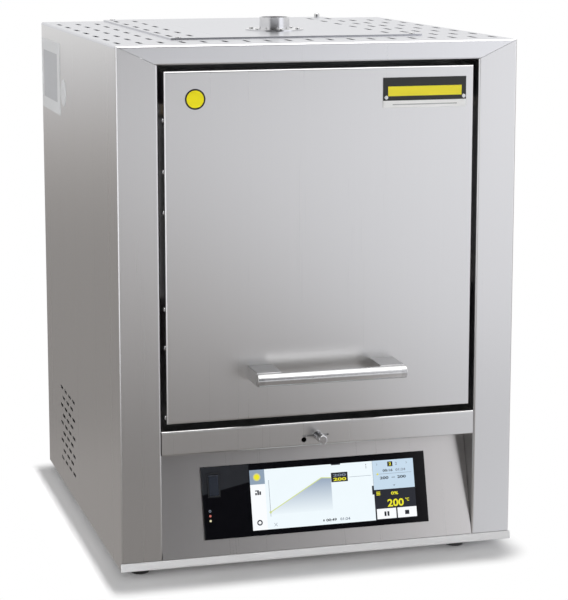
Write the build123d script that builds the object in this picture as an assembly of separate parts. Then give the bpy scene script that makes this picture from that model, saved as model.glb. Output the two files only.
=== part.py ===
"""Bench-top high-temperature furnace with a parallel lift door.

Millimetres. Every piece is modelled with X to the right from the middle of the casing,
Y to the back from the casing's front face and Z up from the table. The finished pieces
are then moved along Y, so that the origin is at the bottom centre of the whole furnace.
"""
from build123d import *
import math
import os

# Casing, outside
CASE_WIDTH = 385.0
CASE_DEPTH = 410.0
CASE_HEIGHT = 488.0
SHEET = 1.5
FOLD_RADIUS = 2.0
FOLD_TAIL = 0.4
SEAM = 0.5
PANEL_CLEAR = 0.3
MITRE_GAP = 0.3
FIT = 0.05
GLUE_FIT = 0.02

# Feet and the lip along the bottom of the front
FOOT_HEIGHT = 8.0
FOOT_RADIUS = 10.0
FOOT_TAPER = 1.5
FOOT_LEFT_INSET = 21.5
FOOT_RIGHT_INSET = 48.0
FOOT_END_INSET = 22.5
LIP_HEIGHT = 7.8
LIP_REACH = 2.6
LIP_OVERHANG = 1.0

# Front frame
JAMB_WIDTH = 38.5
HEADER_HEIGHT = 18.0
PANEL_HEIGHT = 100.0
PANEL_LEAN = 15.0
STRIP_HEIGHT = 23.5
DIP_PLACES = (-69.5, 55.0)
DIP_WIDTH = 14.0
DIP_DEPTH = 0.45

# Door
DOOR_GAP_SIDE = 5.2
DOOR_GAP_TOP = 5.2
DOOR_GAP_BOTTOM = 6.5
DOOR_PROUD = 1.0
DOOR_DEPTH = 25.0
DOOR_SCREW_HEIGHTS = (152.0, 218.0, 254.0, 343.5, 381.0, 428.0)
DOOR_SCREW_Y = 4.5
DOOR_SCREW_RADIUS = 2.4
DOOR_SCREW_HEAD = 1.4
DOOR_SCREW_SHANK_RADIUS = 1.2
DOOR_SCREW_REACH = 4.5
CORNER_RELIEF = 1.2
PLUG_WIDTH = 170.0
PLUG_HEIGHT = 180.0
GASKET_BAND = 12.0
GASKET_DEPTH = 4.0
GASKET_GAP = 0.3
NOSE_CLEAR = 3.0
NOSE_ENTRY = 18.5

# Handle
BAR_LENGTH = 144.0
BAR_RADIUS = 6.0
BAR_ABOVE_BASE = 45.0
BAR_STANDOFF = 35.0
CAP_LENGTH = 6.0
CAP_SPIGOT = 8.0
CAP_SPIGOT_RADIUS = 4.0
CAP_ROUNDING = 0.15
POST_WIDTH = 23.8
POST_HEIGHT = 13.0
POST_INSET = 0.6
POST_SEAT_DEPTH = 3.0
POST_EDGE = 0.45

# Nameplate and side plates
NAMEPLATE_WIDTH = 81.5
NAMEPLATE_HEIGHT = 28.0
NAMEPLATE_THICK = 1.0
NAMEPLATE_RIGHT_INSET = 8.1
NAMEPLATE_TOP_INSET = 10.3
NAMEPLATE_SCREW_INSET = 2.6
NAMEPLATE_SCREW_DROP = 18.4
NAMEPLATE_SCREW_RADIUS = 1.9
NAMEPLATE_SCREW_HEAD = 1.1
NAMEPLATE_SHANK_RADIUS = 0.75
RATING_WIDTH = 110.5
RATING_HEIGHT = 74.0
RATING_THICK = 0.6
RATING_REAR_INSET = 4.0
RATING_TOP_INSET = 16.0
TAG_RADIUS = 13.8
TAG_FROM_PLATE = 20.8
TAG_RISE = 25.0

# Lift linkage
ARM_LENGTH = 173.0
ARM_WIDTH = 12.0
ARM_THICK = 2.5
ARM_SIDE_CLEAR = 0.8
PIVOT_ABOVE_BASE = 13.0
PIVOT_SPACING = 103.0
UPPER_PIVOT_BACK = 9.0
LOWER_PIVOT_BACK = 29.0
PIN_RADIUS = 3.0
PIN_HEAD_RADIUS = 4.5
PIN_HEAD = 1.1
OPEN_PIVOT_CLEAR = 0.3
SIDE_PLAY = 0.1
SHAFT_RADIUS = 5.0
SHAFT_COLLAR_RADIUS = 8.0
SHAFT_COLLAR = 3.0
BUSH_WALL = 2.0
BUSH_FLANGE = 1.4
BUSH_TAIL = 2.5
HUB_RADIUS = 9.0
HUB_LENGTH = 5.0
EAR_THICK = 4.0
EAR_FLANGE = 16.0
EAR_FLANGE_THICK = 2.0
EAR_HALF_HEIGHT = 9.0
EAR_MARGIN = 7.0
EAR_SIDE_INSET = 2.0
EAR_ROUNDING = 0.8
NUT_RADIUS = 5.0
NUT_HEIGHT = 4.0

# Firing chamber and its insulation
ARM_BACK_CLEAR = 3.0
CHAMBER_WIDTH = 110.0
CHAMBER_DEPTH = 110.0
CHAMBER_HEIGHT = 120.0
COLLAR_DEPTH = 30.0
SIDE_BRICK = 92.2
ROOF_BRICK = 65.0
FLOOR_BRICK = 114.0
REAR_BRICK = 100.0
WINDOW_MARGIN = 8.0
HEARTH_WIDTH = 78.0
HEARTH_DEPTH = 96.0
HEARTH_THICK = 6.0

# Heating elements, their holders and straps
SHANK_RADIUS = 2.0
TERMINAL_RADIUS = 4.5
SHANK_SPACING = 30.0
ELEMENT_WALL_GAP = 9.0
ELEMENT_FLOOR_GAP = 12.0
TERMINAL_RISE = 40.0
HOLDER_WIDTH = 16.0
HOLDER_MARGIN = 8.0
HOLDER_HEIGHT = 13.0
CLAMP_SIZE = 15.0
CLAMP_HEIGHT = 12.0
CLAMP_TOP_DROP = 4.0
CLAMP_GAP = 3.0
STRAP_WIDTH = 10.0
STRAP_THICK = 2.0
BUSBAR_BACK = 22.0

# Thermocouple, exhaust tube and air hole
SHEATH_RADIUS = 4.0
SHEATH_REACH = 12.0
SHEATH_TAIL = 20.0
SHEATH_ABOVE_MID = 30.0
HEAD_RADIUS = 13.0
HEAD_LENGTH = 24.0
TUBE_RADIUS = 9.0
TUBE_BORE = 6.5
TUBE_TOP_DROP = 4.0
AIR_HOLE_RADIUS = 5.0
SLIP_FIT = 0.5

# Roof
ROOF_PLATE_WIDTH = 250.0
ROOF_PLATE_FRONT = 76.0
ROOF_PLATE_REAR_INSET = 2.0
ROOF_OVERLAP_SIDE = 4.0
ROOF_OVERLAP_FRONT = 14.0
ROOF_OVERLAP_REAR = 18.0
SLOT_LENGTH = 22.0
SLOT_WIDTH = 4.0
SLOT_COLUMNS = 19
SLOT_COLUMN_PITCH = 20.3
SLOT_OUTER_COLUMNS = 3
SLOT_ROWS = 7
SLOT_ROW_PITCH = 51.7
SLOT_FIRST_ROW = 41.0
PLATE_SLOT_INSET = 6.5
PLATE_SLOT_COLUMNS = 2
PLATE_SLOT_ROWS = 6
PLATE_SLOT_ROW_PITCH = 51.0
PLATE_SLOT_FIRST_ROW = 36.0
STACK_X = 5.0
STACK_Y = 180.0
STACK_RADIUS = 15.0
STACK_WALL = 2.0
STACK_HEIGHT = 12.8
STACK_FLANGE_RADIUS = 29.0
STACK_FLANGE_THICK = 1.2
STACK_SCREW_CIRCLE = 24.0
STACK_SCREWS = 6

# Fasteners
SCREW_RADIUS = 3.0
SCREW_HEAD = 2.2
SCREW_SHANK_RADIUS = 1.5
SCREW_REACH = 4.0
SCREW_ROUNDING = 0.4
DOME_ROUNDING = 0.9
SCREW_RECESS = 0.3
STACK_SCREW_RADIUS = 2.2
STACK_SCREW_HEAD = 1.5
ROOF_SCREW_INSET_X = 9.0
ROOF_SCREW_INSET_Y = 6.5
ROOF_SCREW_HEAD = 0.9
ROOF_BOLT_HEAD = 4.5
REAR_SCREW_INSET = 8.0
REAR_SCREW_ROWS = 4

# Air slider in the strip under the door
AIR_SLOT_LEFT = -18.0
AIR_SLOT_RIGHT = 8.0
AIR_SLOT_HEIGHT = 1.9
AIR_SLOT_RISE = 10.1
AIR_INLET_X = -16.5
AIR_INLET_RISE = 6.3
AIR_INLET_RADIUS = 2.5
KNOB_X = -3.5
KNOB_RADIUS = 4.2
KNOB_REACH = 20.0
KNOB_GAP = 0.8
KNOB_ROUNDING = 0.2
WAIST_START = 0.2
WAIST_END = 0.45
WAIST_RADIUS = 0.7
STEM_RADIUS = 0.8
SLIDER_THICK = 1.2
SLIDER_PLAY = 0.15
SLIDER_END = 14.0
DUCT_MARGIN = 12.0
DUCT_WALL = 1.2

# Control panel, display and USB port
GLASS_WIDTH = 222.7
GLASS_HEIGHT = 68.3
GLASS_THICK = 2.0
GLASS_X = -0.9
GLASS_RISE = 15.2
GLASS_LEDGE = 4.0
GLASS_EDGE = 0.4
SCREEN_WIDTH = 164.2
SCREEN_HEIGHT = 56.9
SCREEN_RIGHT_INSET = 11.6
SCREEN_TOP_INSET = 6.2
SCREEN_THICK = 7.0
CONTROLLER_MARGIN = 8.0
CONTROLLER_DEPTH = 28.0
USB_LEFT_INSET = 5.4
USB_TOP_INSET = 6.0
USB_WIDTH = 12.0
USB_HEIGHT = 23.0
USB_FRAME_PROUD = 0.8
USB_RIM = 1.2
FLAP_THICK = 1.4
FLAP_EDGE_CLEAR = 0.3
TRUNNION_RADIUS = 0.8
USB_SOCKET_WIDTH = 4.6
USB_SOCKET_HEIGHT = 12.6
USB_TONGUE = 2.0
USB_SOCKET_PLACE = 0.42
USB_DEPTH = 12.0

# Cooling fan behind the side vent
VENT_FRONT = 241.7
VENT_BASE = 26.0
VENT_COLUMNS = 4
VENT_ROWS = 9
VENT_ROW_PITCH = 9.7
VENT_PITCH = 23.5
VENT_SLOT = 15.5
VENT_SLOT_HEIGHT = 3.2
FAN_SIZE = 80.0
FAN_DEPTH = 25.0
FAN_BORE = 38.0
FAN_TIP_CLEAR = 1.5
FAN_HUB = 17.0
FAN_BLADE_ROOT = 0.8
FAN_BLADES = 7
FAN_BLADE_THICK = 1.4
FAN_BLADE_PITCH = 35.0
FAN_BLADE_CHORD = 15.0
FAN_MOTOR_LENGTH = 8.0
FAN_STRUT = 4.0
FAN_SHAFT_RADIUS = 1.5
FAN_AXIAL_CLEAR = 0.8

# Rear panel, mains inlet with rocker switch
REAR_VENT_ROWS = 8
REAR_VENT_PITCH = 12.0
REAR_VENT_SLOT = 60.0
REAR_VENT_HEIGHT = 4.0
REAR_VENT_X = 55.0
REAR_VENT_TOP_DROP = 40.0
INLET_SIDE_INSET = 72.5
INLET_Z = 70.0
INLET_FLANGE_WIDTH = 32.0
INLET_FLANGE_HEIGHT = 62.0
INLET_FLANGE_THICK = 3.0
INLET_BODY_WIDTH = 28.0
INLET_BODY_HEIGHT = 54.0
INLET_BODY_DEPTH = 30.0
INLET_RECESS_WIDTH = 24.4
INLET_RECESS_HEIGHT = 16.6
INLET_RECESS_DEPTH = 17.0
INLET_RECESS_DROP = 14.5
PRONG_WIDTH = 2.0
PRONG_HEIGHT = 4.0
PRONG_LENGTH = 15.0
PRONG_SPREAD = 7.0
PRONG_OFFSET = 2.0
ROCKER_RISE = 13.0
ROCKER_WIDTH = 18.4
ROCKER_HALF_HEIGHT = 11.0
ROCKER_PROUD = 3.0
ROCKER_DIP = 1.2
ROCKER_TAPER = 0.7
ROCKER_BACK = 5.0
ROCKER_TILT = 10.0
ROCKER_CLEAR = 0.6
ROCKER_PIN_RADIUS = 1.3
ROCKER_PIN_LENGTH = 1.5

# Electrical pieces in the base
TRANSFORMER_WIDTH = 110.0
TRANSFORMER_DEPTH = 80.0
TRANSFORMER_HEIGHT = 92.0
TRANSFORMER_LEG = 18.0
TRANSFORMER_REAR_GAP = 22.0
TRANSFORMER_X = 10.0
COIL_ROUNDING = 0.4
SINK_LENGTH = 90.0
SINK_WIDTH = 48.0
SINK_HEIGHT = 36.0
SINK_FINS = 7
SINK_FIN_THICK = 2.0
SINK_BASE = 5.0
SINK_SIDE_INSET = 62.5
SINK_Y = 160.0
RELAY_LENGTH = 58.0
RELAY_WIDTH = 44.0
RELAY_HEIGHT = 24.0
RELAY_STEP_PLACE = 0.3
RELAY_STEP_HEIGHT = 0.6

# Places worked out from the sizes above
HALF_WIDTH = CASE_WIDTH / 2
CASE_BASE = FOOT_HEIGHT
CASE_TOP = CASE_BASE + CASE_HEIGHT
OPENING_X = HALF_WIDTH - JAMB_WIDTH
OPENING_TOP = CASE_TOP - HEADER_HEIGHT
FRONT_BASE = CASE_BASE + LIP_HEIGHT + SEAM
STRIP_BASE = FRONT_BASE + PANEL_HEIGHT
STRIP_TOP = STRIP_BASE + STRIP_HEIGHT
DOOR_BASE = STRIP_TOP + DOOR_GAP_BOTTOM
DOOR_TOP = OPENING_TOP - DOOR_GAP_TOP
DOOR_X = OPENING_X - DOOR_GAP_SIDE
DOOR_MID = (DOOR_BASE + DOOR_TOP) / 2
DOOR_BACK = DOOR_DEPTH - DOOR_PROUD
ARM_IN = DOOR_X + ARM_SIDE_CLEAR
ARM_OUT = ARM_IN + ARM_THICK
UPPER_PIVOT_Y = DOOR_BACK + UPPER_PIVOT_BACK
LOWER_PIVOT_Y = DOOR_BACK + LOWER_PIVOT_BACK
DOOR_LOWER_PIVOT = DOOR_BASE + PIVOT_ABOVE_BASE
DOOR_UPPER_PIVOT = DOOR_LOWER_PIVOT + PIVOT_SPACING
BODY_LOWER_PIVOT = DOOR_LOWER_PIVOT + ARM_LENGTH
BODY_UPPER_PIVOT = DOOR_UPPER_PIVOT + ARM_LENGTH
FRONT_PLATE_Y = LOWER_PIVOT_Y + ARM_WIDTH / 2 + ARM_BACK_CLEAR
COLLAR_Y = FRONT_PLATE_Y + SHEET
CHAMBER_Y = COLLAR_Y + COLLAR_DEPTH
CHAMBER_BACK = CHAMBER_Y + CHAMBER_DEPTH
CHAMBER_BASE = DOOR_MID - CHAMBER_HEIGHT / 2
CHAMBER_TOP = DOOR_MID + CHAMBER_HEIGHT / 2
BRICK_X = CHAMBER_WIDTH / 2 + SIDE_BRICK
BRICK_BASE = CHAMBER_BASE - FLOOR_BRICK
BRICK_TOP = CHAMBER_TOP + ROOF_BRICK
BRICK_BACK = CHAMBER_BACK + REAR_BRICK
PLUG_BACK = FRONT_PLATE_Y - GASKET_GAP - GASKET_DEPTH
NOSE_TIP = COLLAR_Y + NOSE_ENTRY
BAR_Y = -DOOR_PROUD - BAR_STANDOFF
BAR_Z = DOOR_BASE + BAR_ABOVE_BASE
ROOF_PLATE_TOP = CASE_TOP + SHEET
PANEL_LENGTH = PANEL_HEIGHT / math.cos(math.radians(PANEL_LEAN))
PANEL_BACK = PANEL_HEIGHT * math.tan(math.radians(PANEL_LEAN))
ELEMENT_X = CHAMBER_WIDTH / 2 - ELEMENT_WALL_GAP
ELEMENT_PITCH = SHANK_SPACING + CLAMP_SIZE + CLAMP_GAP
ELEMENT_MIDS = [(CHAMBER_Y + CHAMBER_BACK) / 2 + side * ELEMENT_PITCH / 2 for side in (-1, 1)]
TERMINAL_TOP = BRICK_TOP + TERMINAL_RISE
CLAMP_TOP = TERMINAL_TOP - CLAMP_TOP_DROP
CLAMP_BASE = CLAMP_TOP - CLAMP_HEIGHT
VENT_LENGTH = (VENT_COLUMNS - 1) * VENT_PITCH + VENT_SLOT
FAN_Y = VENT_FRONT + VENT_LENGTH / 2
FAN_Z = CASE_BASE + VENT_BASE + (VENT_ROWS - 1) * VENT_ROW_PITCH / 2
AIR_SLOT_Z = STRIP_BASE + AIR_SLOT_RISE
INLET_X = HALF_WIDTH - INLET_SIDE_INSET
SINK_X = HALF_WIDTH - SINK_SIDE_INSET
ROCKER_FRONT = ROCKER_PROUD + ROCKER_BACK / 2
ROCKER_REACH = math.hypot(ROCKER_FRONT, ROCKER_HALF_HEIGHT) * math.cos(
    math.atan2(ROCKER_HALF_HEIGHT, ROCKER_FRONT) - math.radians(ROCKER_TILT)
)
REAR_REACH = INLET_FLANGE_THICK - ROCKER_BACK / 2 + ROCKER_REACH
FRONT_REACH = BAR_RADIUS - BAR_Y
ORIGIN_Y = (CASE_DEPTH + REAR_REACH - FRONT_REACH) / 2

# The control panel's own plane: x to the right, y up the slope, z out of its face
PANEL = Plane(
    origin=(0, 0, FRONT_BASE),
    x_dir=(1, 0, 0),
    z_dir=(0, -math.cos(math.radians(PANEL_LEAN)), math.sin(math.radians(PANEL_LEAN))),
)


def block(x, y, z):
    """A box between two X, two Y and two Z values."""
    size = Box(x[1] - x[0], y[1] - y[0], z[1] - z[0])
    return Pos((x[0] + x[1]) / 2, (y[0] + y[1]) / 2, (z[0] + z[1]) / 2) * size


def rod_x(x, y, z, radius):
    """A cylinder along X between two X values."""
    return Pos((x[0] + x[1]) / 2, y, z) * Rot(0, 90, 0) * Cylinder(radius, abs(x[1] - x[0]))


def rod_y(x, y, z, radius):
    """A cylinder along Y between two Y values."""
    return Pos(x, (y[0] + y[1]) / 2, z) * Rot(90, 0, 0) * Cylinder(radius, abs(y[1] - y[0]))


def rod_z(x, y, z, radius):
    """A cylinder along Z between two Z values."""
    return Pos(x, y, (z[0] + z[1]) / 2) * Cylinder(radius, abs(z[1] - z[0]))


def bent_sheet(plane, length, *points):
    """A folded sheet: its middle line in a plane, with rounded folds, extruded by a length."""
    line = FilletPolyline(*points, radius=FOLD_RADIUS - SHEET / 2)
    return extrude(plane * trace(line, line_width=SHEET), length)


def group(pieces):
    """Separate solids that share one node."""
    return Compound([solid for piece in pieces for solid in piece.solids()])


def mirrored(piece):
    """The same piece on the other side of the middle plane."""
    return mirror(piece, about=Plane.YZ)


def pan_screw(head_radius=SCREW_RADIUS, head=SCREW_HEAD, reach=SCREW_REACH):
    """A pan-head screw along Z with its seat at zero and its shank below."""
    dome = Pos(0, 0, head / 2) * Cylinder(head_radius, head)
    dome = fillet(dome.faces().sort_by(Axis.Z)[-1].edges(), head * SCREW_ROUNDING)
    width = head * SCREW_RECESS
    recess = Pos(0, 0, head) * (Box(head_radius, width, head) + Box(width, head_radius, head))
    shank = Pos(0, 0, -reach / 2) * Cylinder(SCREW_SHANK_RADIUS, reach)
    return dome - recess + shank


# Casing


def mitre_line(x):
    """Height of the joint between a jamb and the header, at a distance from the middle."""
    return OPENING_TOP + (x - OPENING_X) * HEADER_HEIGHT / JAMB_WIDTH


def base_tray():
    """Floor plate with the bright lip folded up along the front."""
    floor_x = HALF_WIDTH - SHEET - PANEL_CLEAR
    middle = CASE_BASE + SHEET / 2
    lip_top = CASE_BASE + LIP_HEIGHT
    lip_x = HALF_WIDTH + LIP_OVERHANG
    lip = bent_sheet(
        Plane.YZ.offset(-lip_x),
        2 * lip_x,
        (FOLD_RADIUS, middle),
        (SHEET / 2 - LIP_REACH, middle),
        (SHEET / 2, lip_top),
    )
    lip = lip & block((-lip_x, lip_x), (-CASE_DEPTH, FOLD_RADIUS), (CASE_BASE, lip_top))
    back = CASE_DEPTH - SHEET - PANEL_CLEAR
    floor = block((-floor_x, floor_x), (SHEET, back), (CASE_BASE, CASE_BASE + SHEET))
    return lip + floor


def foot_places():
    """Middles of the four feet."""
    ends = (FOOT_END_INSET, CASE_DEPTH - FOOT_END_INSET)
    sides = (FOOT_LEFT_INSET - HALF_WIDTH, HALF_WIDTH - FOOT_RIGHT_INSET)
    return [(x, y) for x in sides for y in ends]


def feet():
    """Four round rubber feet, a little narrower at the floor."""
    foot = Pos(0, 0, FOOT_HEIGHT / 2) * Cone(FOOT_RADIUS - FOOT_TAPER, FOOT_RADIUS, FOOT_HEIGHT)
    return group([Pos(x, y, 0) * foot for x, y in foot_places()])


def side_panel():
    """Flat right-hand side sheet between the jamb's fold and the back edge."""
    top = CASE_TOP - FOLD_RADIUS - FOLD_TAIL
    return block((HALF_WIDTH - SHEET, HALF_WIDTH), (FOLD_RADIUS + FOLD_TAIL, CASE_DEPTH), (CASE_BASE, top))


def side_panel_right():
    return side_panel()


def side_panel_left():
    """Left-hand side sheet with staggered rows of vent slots in front of the fan."""
    sheet = mirrored(side_panel())
    slot = extrude(SlotOverall(VENT_SLOT, VENT_SLOT_HEIGHT), SHEET * 2, both=True)
    cutter = Rot(0, 90, 0) * Rot(0, 0, 90) * slot
    cuts = []
    for row in range(VENT_ROWS):
        shift = VENT_PITCH / 2 * (row % 2)
        count = VENT_COLUMNS - row % 2
        for column in range(count):
            y = VENT_FRONT + VENT_SLOT / 2 + shift + column * VENT_PITCH
            z = CASE_BASE + VENT_BASE + row * VENT_ROW_PITCH
            cuts.append(Pos(-HALF_WIDTH + SHEET / 2, y, z) * cutter)
    return sheet - cuts


def jamb():
    """Right-hand upright of the front frame, with its fold round the corner and its return."""
    edge = HALF_WIDTH - SHEET / 2
    inner = OPENING_X + SHEET / 2
    sheet = bent_sheet(
        Plane.XY.offset(FRONT_BASE),
        CASE_TOP - FRONT_BASE,
        (edge, FOLD_RADIUS + FOLD_TAIL),
        (edge, SHEET / 2),
        (inner, SHEET / 2),
        (inner, FRONT_PLATE_Y),
    )
    inside = OPENING_X - JAMB_WIDTH
    outside = HALF_WIDTH + JAMB_WIDTH
    keep = Polygon(
        (inside, 0),
        (outside, 0),
        (outside, mitre_line(outside) - MITRE_GAP),
        (inside, mitre_line(inside) - MITRE_GAP),
        align=None,
    )
    sheet = sheet & extrude(Plane.XZ * keep, -CASE_DEPTH)
    through = (inner - SHEET, inner + SHEET)
    bush_hole = rod_x(through, UPPER_PIVOT_Y, BODY_UPPER_PIVOT, SHAFT_RADIUS + BUSH_WALL + FIT)
    pin_hole = rod_x(through, LOWER_PIVOT_Y, BODY_LOWER_PIVOT, PIN_RADIUS + FIT)
    return sheet - [bush_hole, pin_hole]


def jamb_right():
    return jamb()


def jamb_left():
    return mirrored(jamb())


def header():
    """Top member of the front frame, mitred to the jambs, with its return over the door."""
    sheet = bent_sheet(
        Plane.YZ.offset(-HALF_WIDTH),
        CASE_WIDTH,
        (FOLD_RADIUS + FOLD_TAIL, CASE_TOP - SHEET / 2),
        (SHEET / 2, CASE_TOP - SHEET / 2),
        (SHEET / 2, OPENING_TOP + SHEET / 2),
        (FRONT_PLATE_Y, OPENING_TOP + SHEET / 2),
    )
    inside = OPENING_X - JAMB_WIDTH
    outside = HALF_WIDTH + JAMB_WIDTH
    above = CASE_TOP + CASE_HEIGHT
    keep = Polygon(
        (-inside, mitre_line(inside)),
        (inside, mitre_line(inside)),
        (outside, mitre_line(outside)),
        (outside, above),
        (-outside, above),
        (-outside, mitre_line(outside)),
        align=None,
    )
    return sheet & extrude(Plane.XZ * keep, -CASE_DEPTH)


def roof_slot():
    """Cutter for one roof slot, long along Y."""
    return Rot(0, 0, 90) * extrude(SlotOverall(SLOT_LENGTH, SLOT_WIDTH), SHEET * 2, both=True)


def roof_cut_out():
    """Span of the hole in the roof that the removable plate covers."""
    half = ROOF_PLATE_WIDTH / 2 - ROOF_OVERLAP_SIDE
    front = ROOF_PLATE_FRONT + ROOF_OVERLAP_FRONT
    back = CASE_DEPTH - ROOF_PLATE_REAR_INSET - ROOF_OVERLAP_REAR
    return half, front, back


def roof_shell():
    """Roof sheet with down-turned sides, a row of slots along the front and three each side."""
    side = HALF_WIDTH - SHEET / 2
    tail = CASE_TOP - FOLD_RADIUS - FOLD_TAIL
    start = FOLD_RADIUS + FOLD_TAIL
    sheet = bent_sheet(
        Plane.XZ.offset(-start),
        start - CASE_DEPTH,
        (-side, tail),
        (-side, CASE_TOP - SHEET / 2),
        (side, CASE_TOP - SHEET / 2),
        (side, tail),
    )
    half, front, back = roof_cut_out()
    cuts = [block((-half, half), (front, back), (CASE_TOP - 2 * SHEET, CASE_TOP + SHEET))]
    first = -(SLOT_COLUMNS - 1) * SLOT_COLUMN_PITCH / 2
    for column in range(SLOT_COLUMNS):
        outer = min(column, SLOT_COLUMNS - 1 - column) < SLOT_OUTER_COLUMNS
        for row in range(SLOT_ROWS if outer else 1):
            x = first + column * SLOT_COLUMN_PITCH
            y = SLOT_FIRST_ROW + row * SLOT_ROW_PITCH
            cuts.append(Pos(x, y, CASE_TOP - SHEET / 2) * roof_slot())
    for x, y in roof_screw_places():
        cuts.append(rod_z(x, y, (CASE_TOP - 2 * SHEET, CASE_TOP + SHEET), SCREW_SHANK_RADIUS + FIT))
    return sheet - cuts


def roof_screw_places():
    """Middles of the screws that hold the removable roof plate, the tall one last."""
    x = ROOF_PLATE_WIDTH / 2 - ROOF_SCREW_INSET_X
    front = ROOF_PLATE_FRONT + ROOF_SCREW_INSET_Y
    back = CASE_DEPTH - ROOF_PLATE_REAR_INSET - ROOF_SCREW_INSET_Y
    return [(side * x, y) for side in (-1, 1) for y in (front, back)]


def stack_screw_places():
    """Middles of the screws round the exhaust stack."""
    angles = [360 / STACK_SCREWS * (index + 0.5) for index in range(STACK_SCREWS)]
    return [
        (
            STACK_X + STACK_SCREW_CIRCLE * math.cos(math.radians(angle)),
            STACK_Y + STACK_SCREW_CIRCLE * math.sin(math.radians(angle)),
        )
        for angle in angles
    ]


def roof_plate():
    """Removable plate over the element terminals, slotted down both sides."""
    half = ROOF_PLATE_WIDTH / 2
    back = CASE_DEPTH - ROOF_PLATE_REAR_INSET
    sheet = block((-half, half), (ROOF_PLATE_FRONT, back), (CASE_TOP, ROOF_PLATE_TOP))
    sheet = fillet(sheet.edges().filter_by(Axis.Z), FOLD_RADIUS)
    cuts = [rod_z(STACK_X, STACK_Y, (CASE_TOP - SHEET, ROOF_PLATE_TOP + SHEET), STACK_RADIUS - STACK_WALL)]
    for side in (-1, 1):
        for column in range(PLATE_SLOT_COLUMNS):
            for row in range(PLATE_SLOT_ROWS):
                x = side * (half - PLATE_SLOT_INSET - column * SLOT_COLUMN_PITCH)
                y = ROOF_PLATE_FRONT + PLATE_SLOT_FIRST_ROW + row * PLATE_SLOT_ROW_PITCH
                cuts.append(Pos(x, y, CASE_TOP + SHEET / 2) * roof_slot())
    for x, y in roof_screw_places() + stack_screw_places():
        cuts.append(rod_z(x, y, (CASE_TOP - SHEET, ROOF_PLATE_TOP + SHEET), SCREW_SHANK_RADIUS + FIT))
    return sheet - cuts


def exhaust_stack():
    """Short open spigot for the exhaust, with a round flange."""
    flange_top = ROOF_PLATE_TOP + STACK_FLANGE_THICK
    top = ROOF_PLATE_TOP + STACK_HEIGHT
    flange = rod_z(STACK_X, STACK_Y, (ROOF_PLATE_TOP, flange_top), STACK_FLANGE_RADIUS)
    tube = rod_z(STACK_X, STACK_Y, (ROOF_PLATE_TOP, top), STACK_RADIUS)
    bore = rod_z(STACK_X, STACK_Y, (CASE_TOP, top + SHEET), STACK_RADIUS - STACK_WALL)
    holes = [
        rod_z(x, y, (CASE_TOP, top), SCREW_SHANK_RADIUS + FIT) for x, y in stack_screw_places()
    ]
    return flange + tube - bore - holes


def rear_screw_places():
    """Middles of the screws that hold the rear panel, down both sides."""
    x = HALF_WIDTH - SHEET - PANEL_CLEAR - REAR_SCREW_INSET
    low = CASE_BASE + SHEET + REAR_SCREW_INSET * 2
    high = CASE_TOP - REAR_SCREW_INSET * 2
    step = (high - low) / (REAR_SCREW_ROWS - 1)
    return [(side * x, low + row * step) for side in (-1, 1) for row in range(REAR_SCREW_ROWS)]


def casing_screws():
    """Screws of the roof plate, of the exhaust stack and of the rear panel."""
    flat = pan_screw(SCREW_RADIUS, ROOF_SCREW_HEAD, SCREW_REACH + SHEET)
    tall = pan_screw(SCREW_RADIUS, ROOF_BOLT_HEAD, SCREW_REACH + SHEET)
    small = pan_screw(STACK_SCREW_RADIUS, STACK_SCREW_HEAD)
    screw = Rot(-90, 0, 0) * pan_screw()
    places = [Pos(x, y, ROOF_PLATE_TOP) for x, y in roof_screw_places()]
    roof = [place * flat for place in places[:-1]] + [places[-1] * tall]
    ring = [Pos(x, y, ROOF_PLATE_TOP + STACK_FLANGE_THICK) * small for x, y in stack_screw_places()]
    screws = [Pos(x, CASE_DEPTH, z) * screw for x, z in rear_screw_places()]
    return group(roof + ring + screws)


def rear_panel():
    """Removable rear sheet with vent slots and the cut-out for the mains inlet."""
    half = HALF_WIDTH - SHEET - PANEL_CLEAR
    span = (CASE_DEPTH - SHEET, CASE_DEPTH)
    top = CASE_TOP - SHEET - PANEL_CLEAR
    sheet = block((-half, half), span, (CASE_BASE + SHEET + PANEL_CLEAR, top))
    through = (CASE_DEPTH - 2 * SHEET, CASE_DEPTH + SHEET)
    slot = Rot(90, 0, 0) * extrude(SlotOverall(REAR_VENT_SLOT, REAR_VENT_HEIGHT), SHEET * 2, both=True)
    cuts = []
    for side in (-1, 1):
        for row in range(REAR_VENT_ROWS):
            z = CASE_TOP - REAR_VENT_TOP_DROP - row * REAR_VENT_PITCH
            cuts.append(Pos(side * REAR_VENT_X, CASE_DEPTH, z) * slot)
    for x, z in rear_screw_places():
        cuts.append(rod_y(x, through, z, SCREW_SHANK_RADIUS + FIT))
    x = (INLET_X - INLET_BODY_WIDTH / 2 - PANEL_CLEAR, INLET_X + INLET_BODY_WIDTH / 2 + PANEL_CLEAR)
    z = (INLET_Z - INLET_BODY_HEIGHT / 2 - PANEL_CLEAR, INLET_Z + INLET_BODY_HEIGHT / 2 + PANEL_CLEAR)
    cuts.append(block(x, through, z))
    return sheet - cuts


def side_plates():
    """Blank rating plate and small round blank tag on the left side."""
    face = -HALF_WIDTH
    x = (face - RATING_THICK, face)
    back = CASE_DEPTH - RATING_REAR_INSET
    top = CASE_TOP - RATING_TOP_INSET
    front = back - RATING_WIDTH
    base = top - RATING_HEIGHT
    plate = block(x, (front, back), (base, top))
    tag = rod_x(x, front - TAG_FROM_PLATE, base + TAG_RISE, TAG_RADIUS)
    return group([plate, tag])


# Air strip, slider and duct under the door


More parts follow.
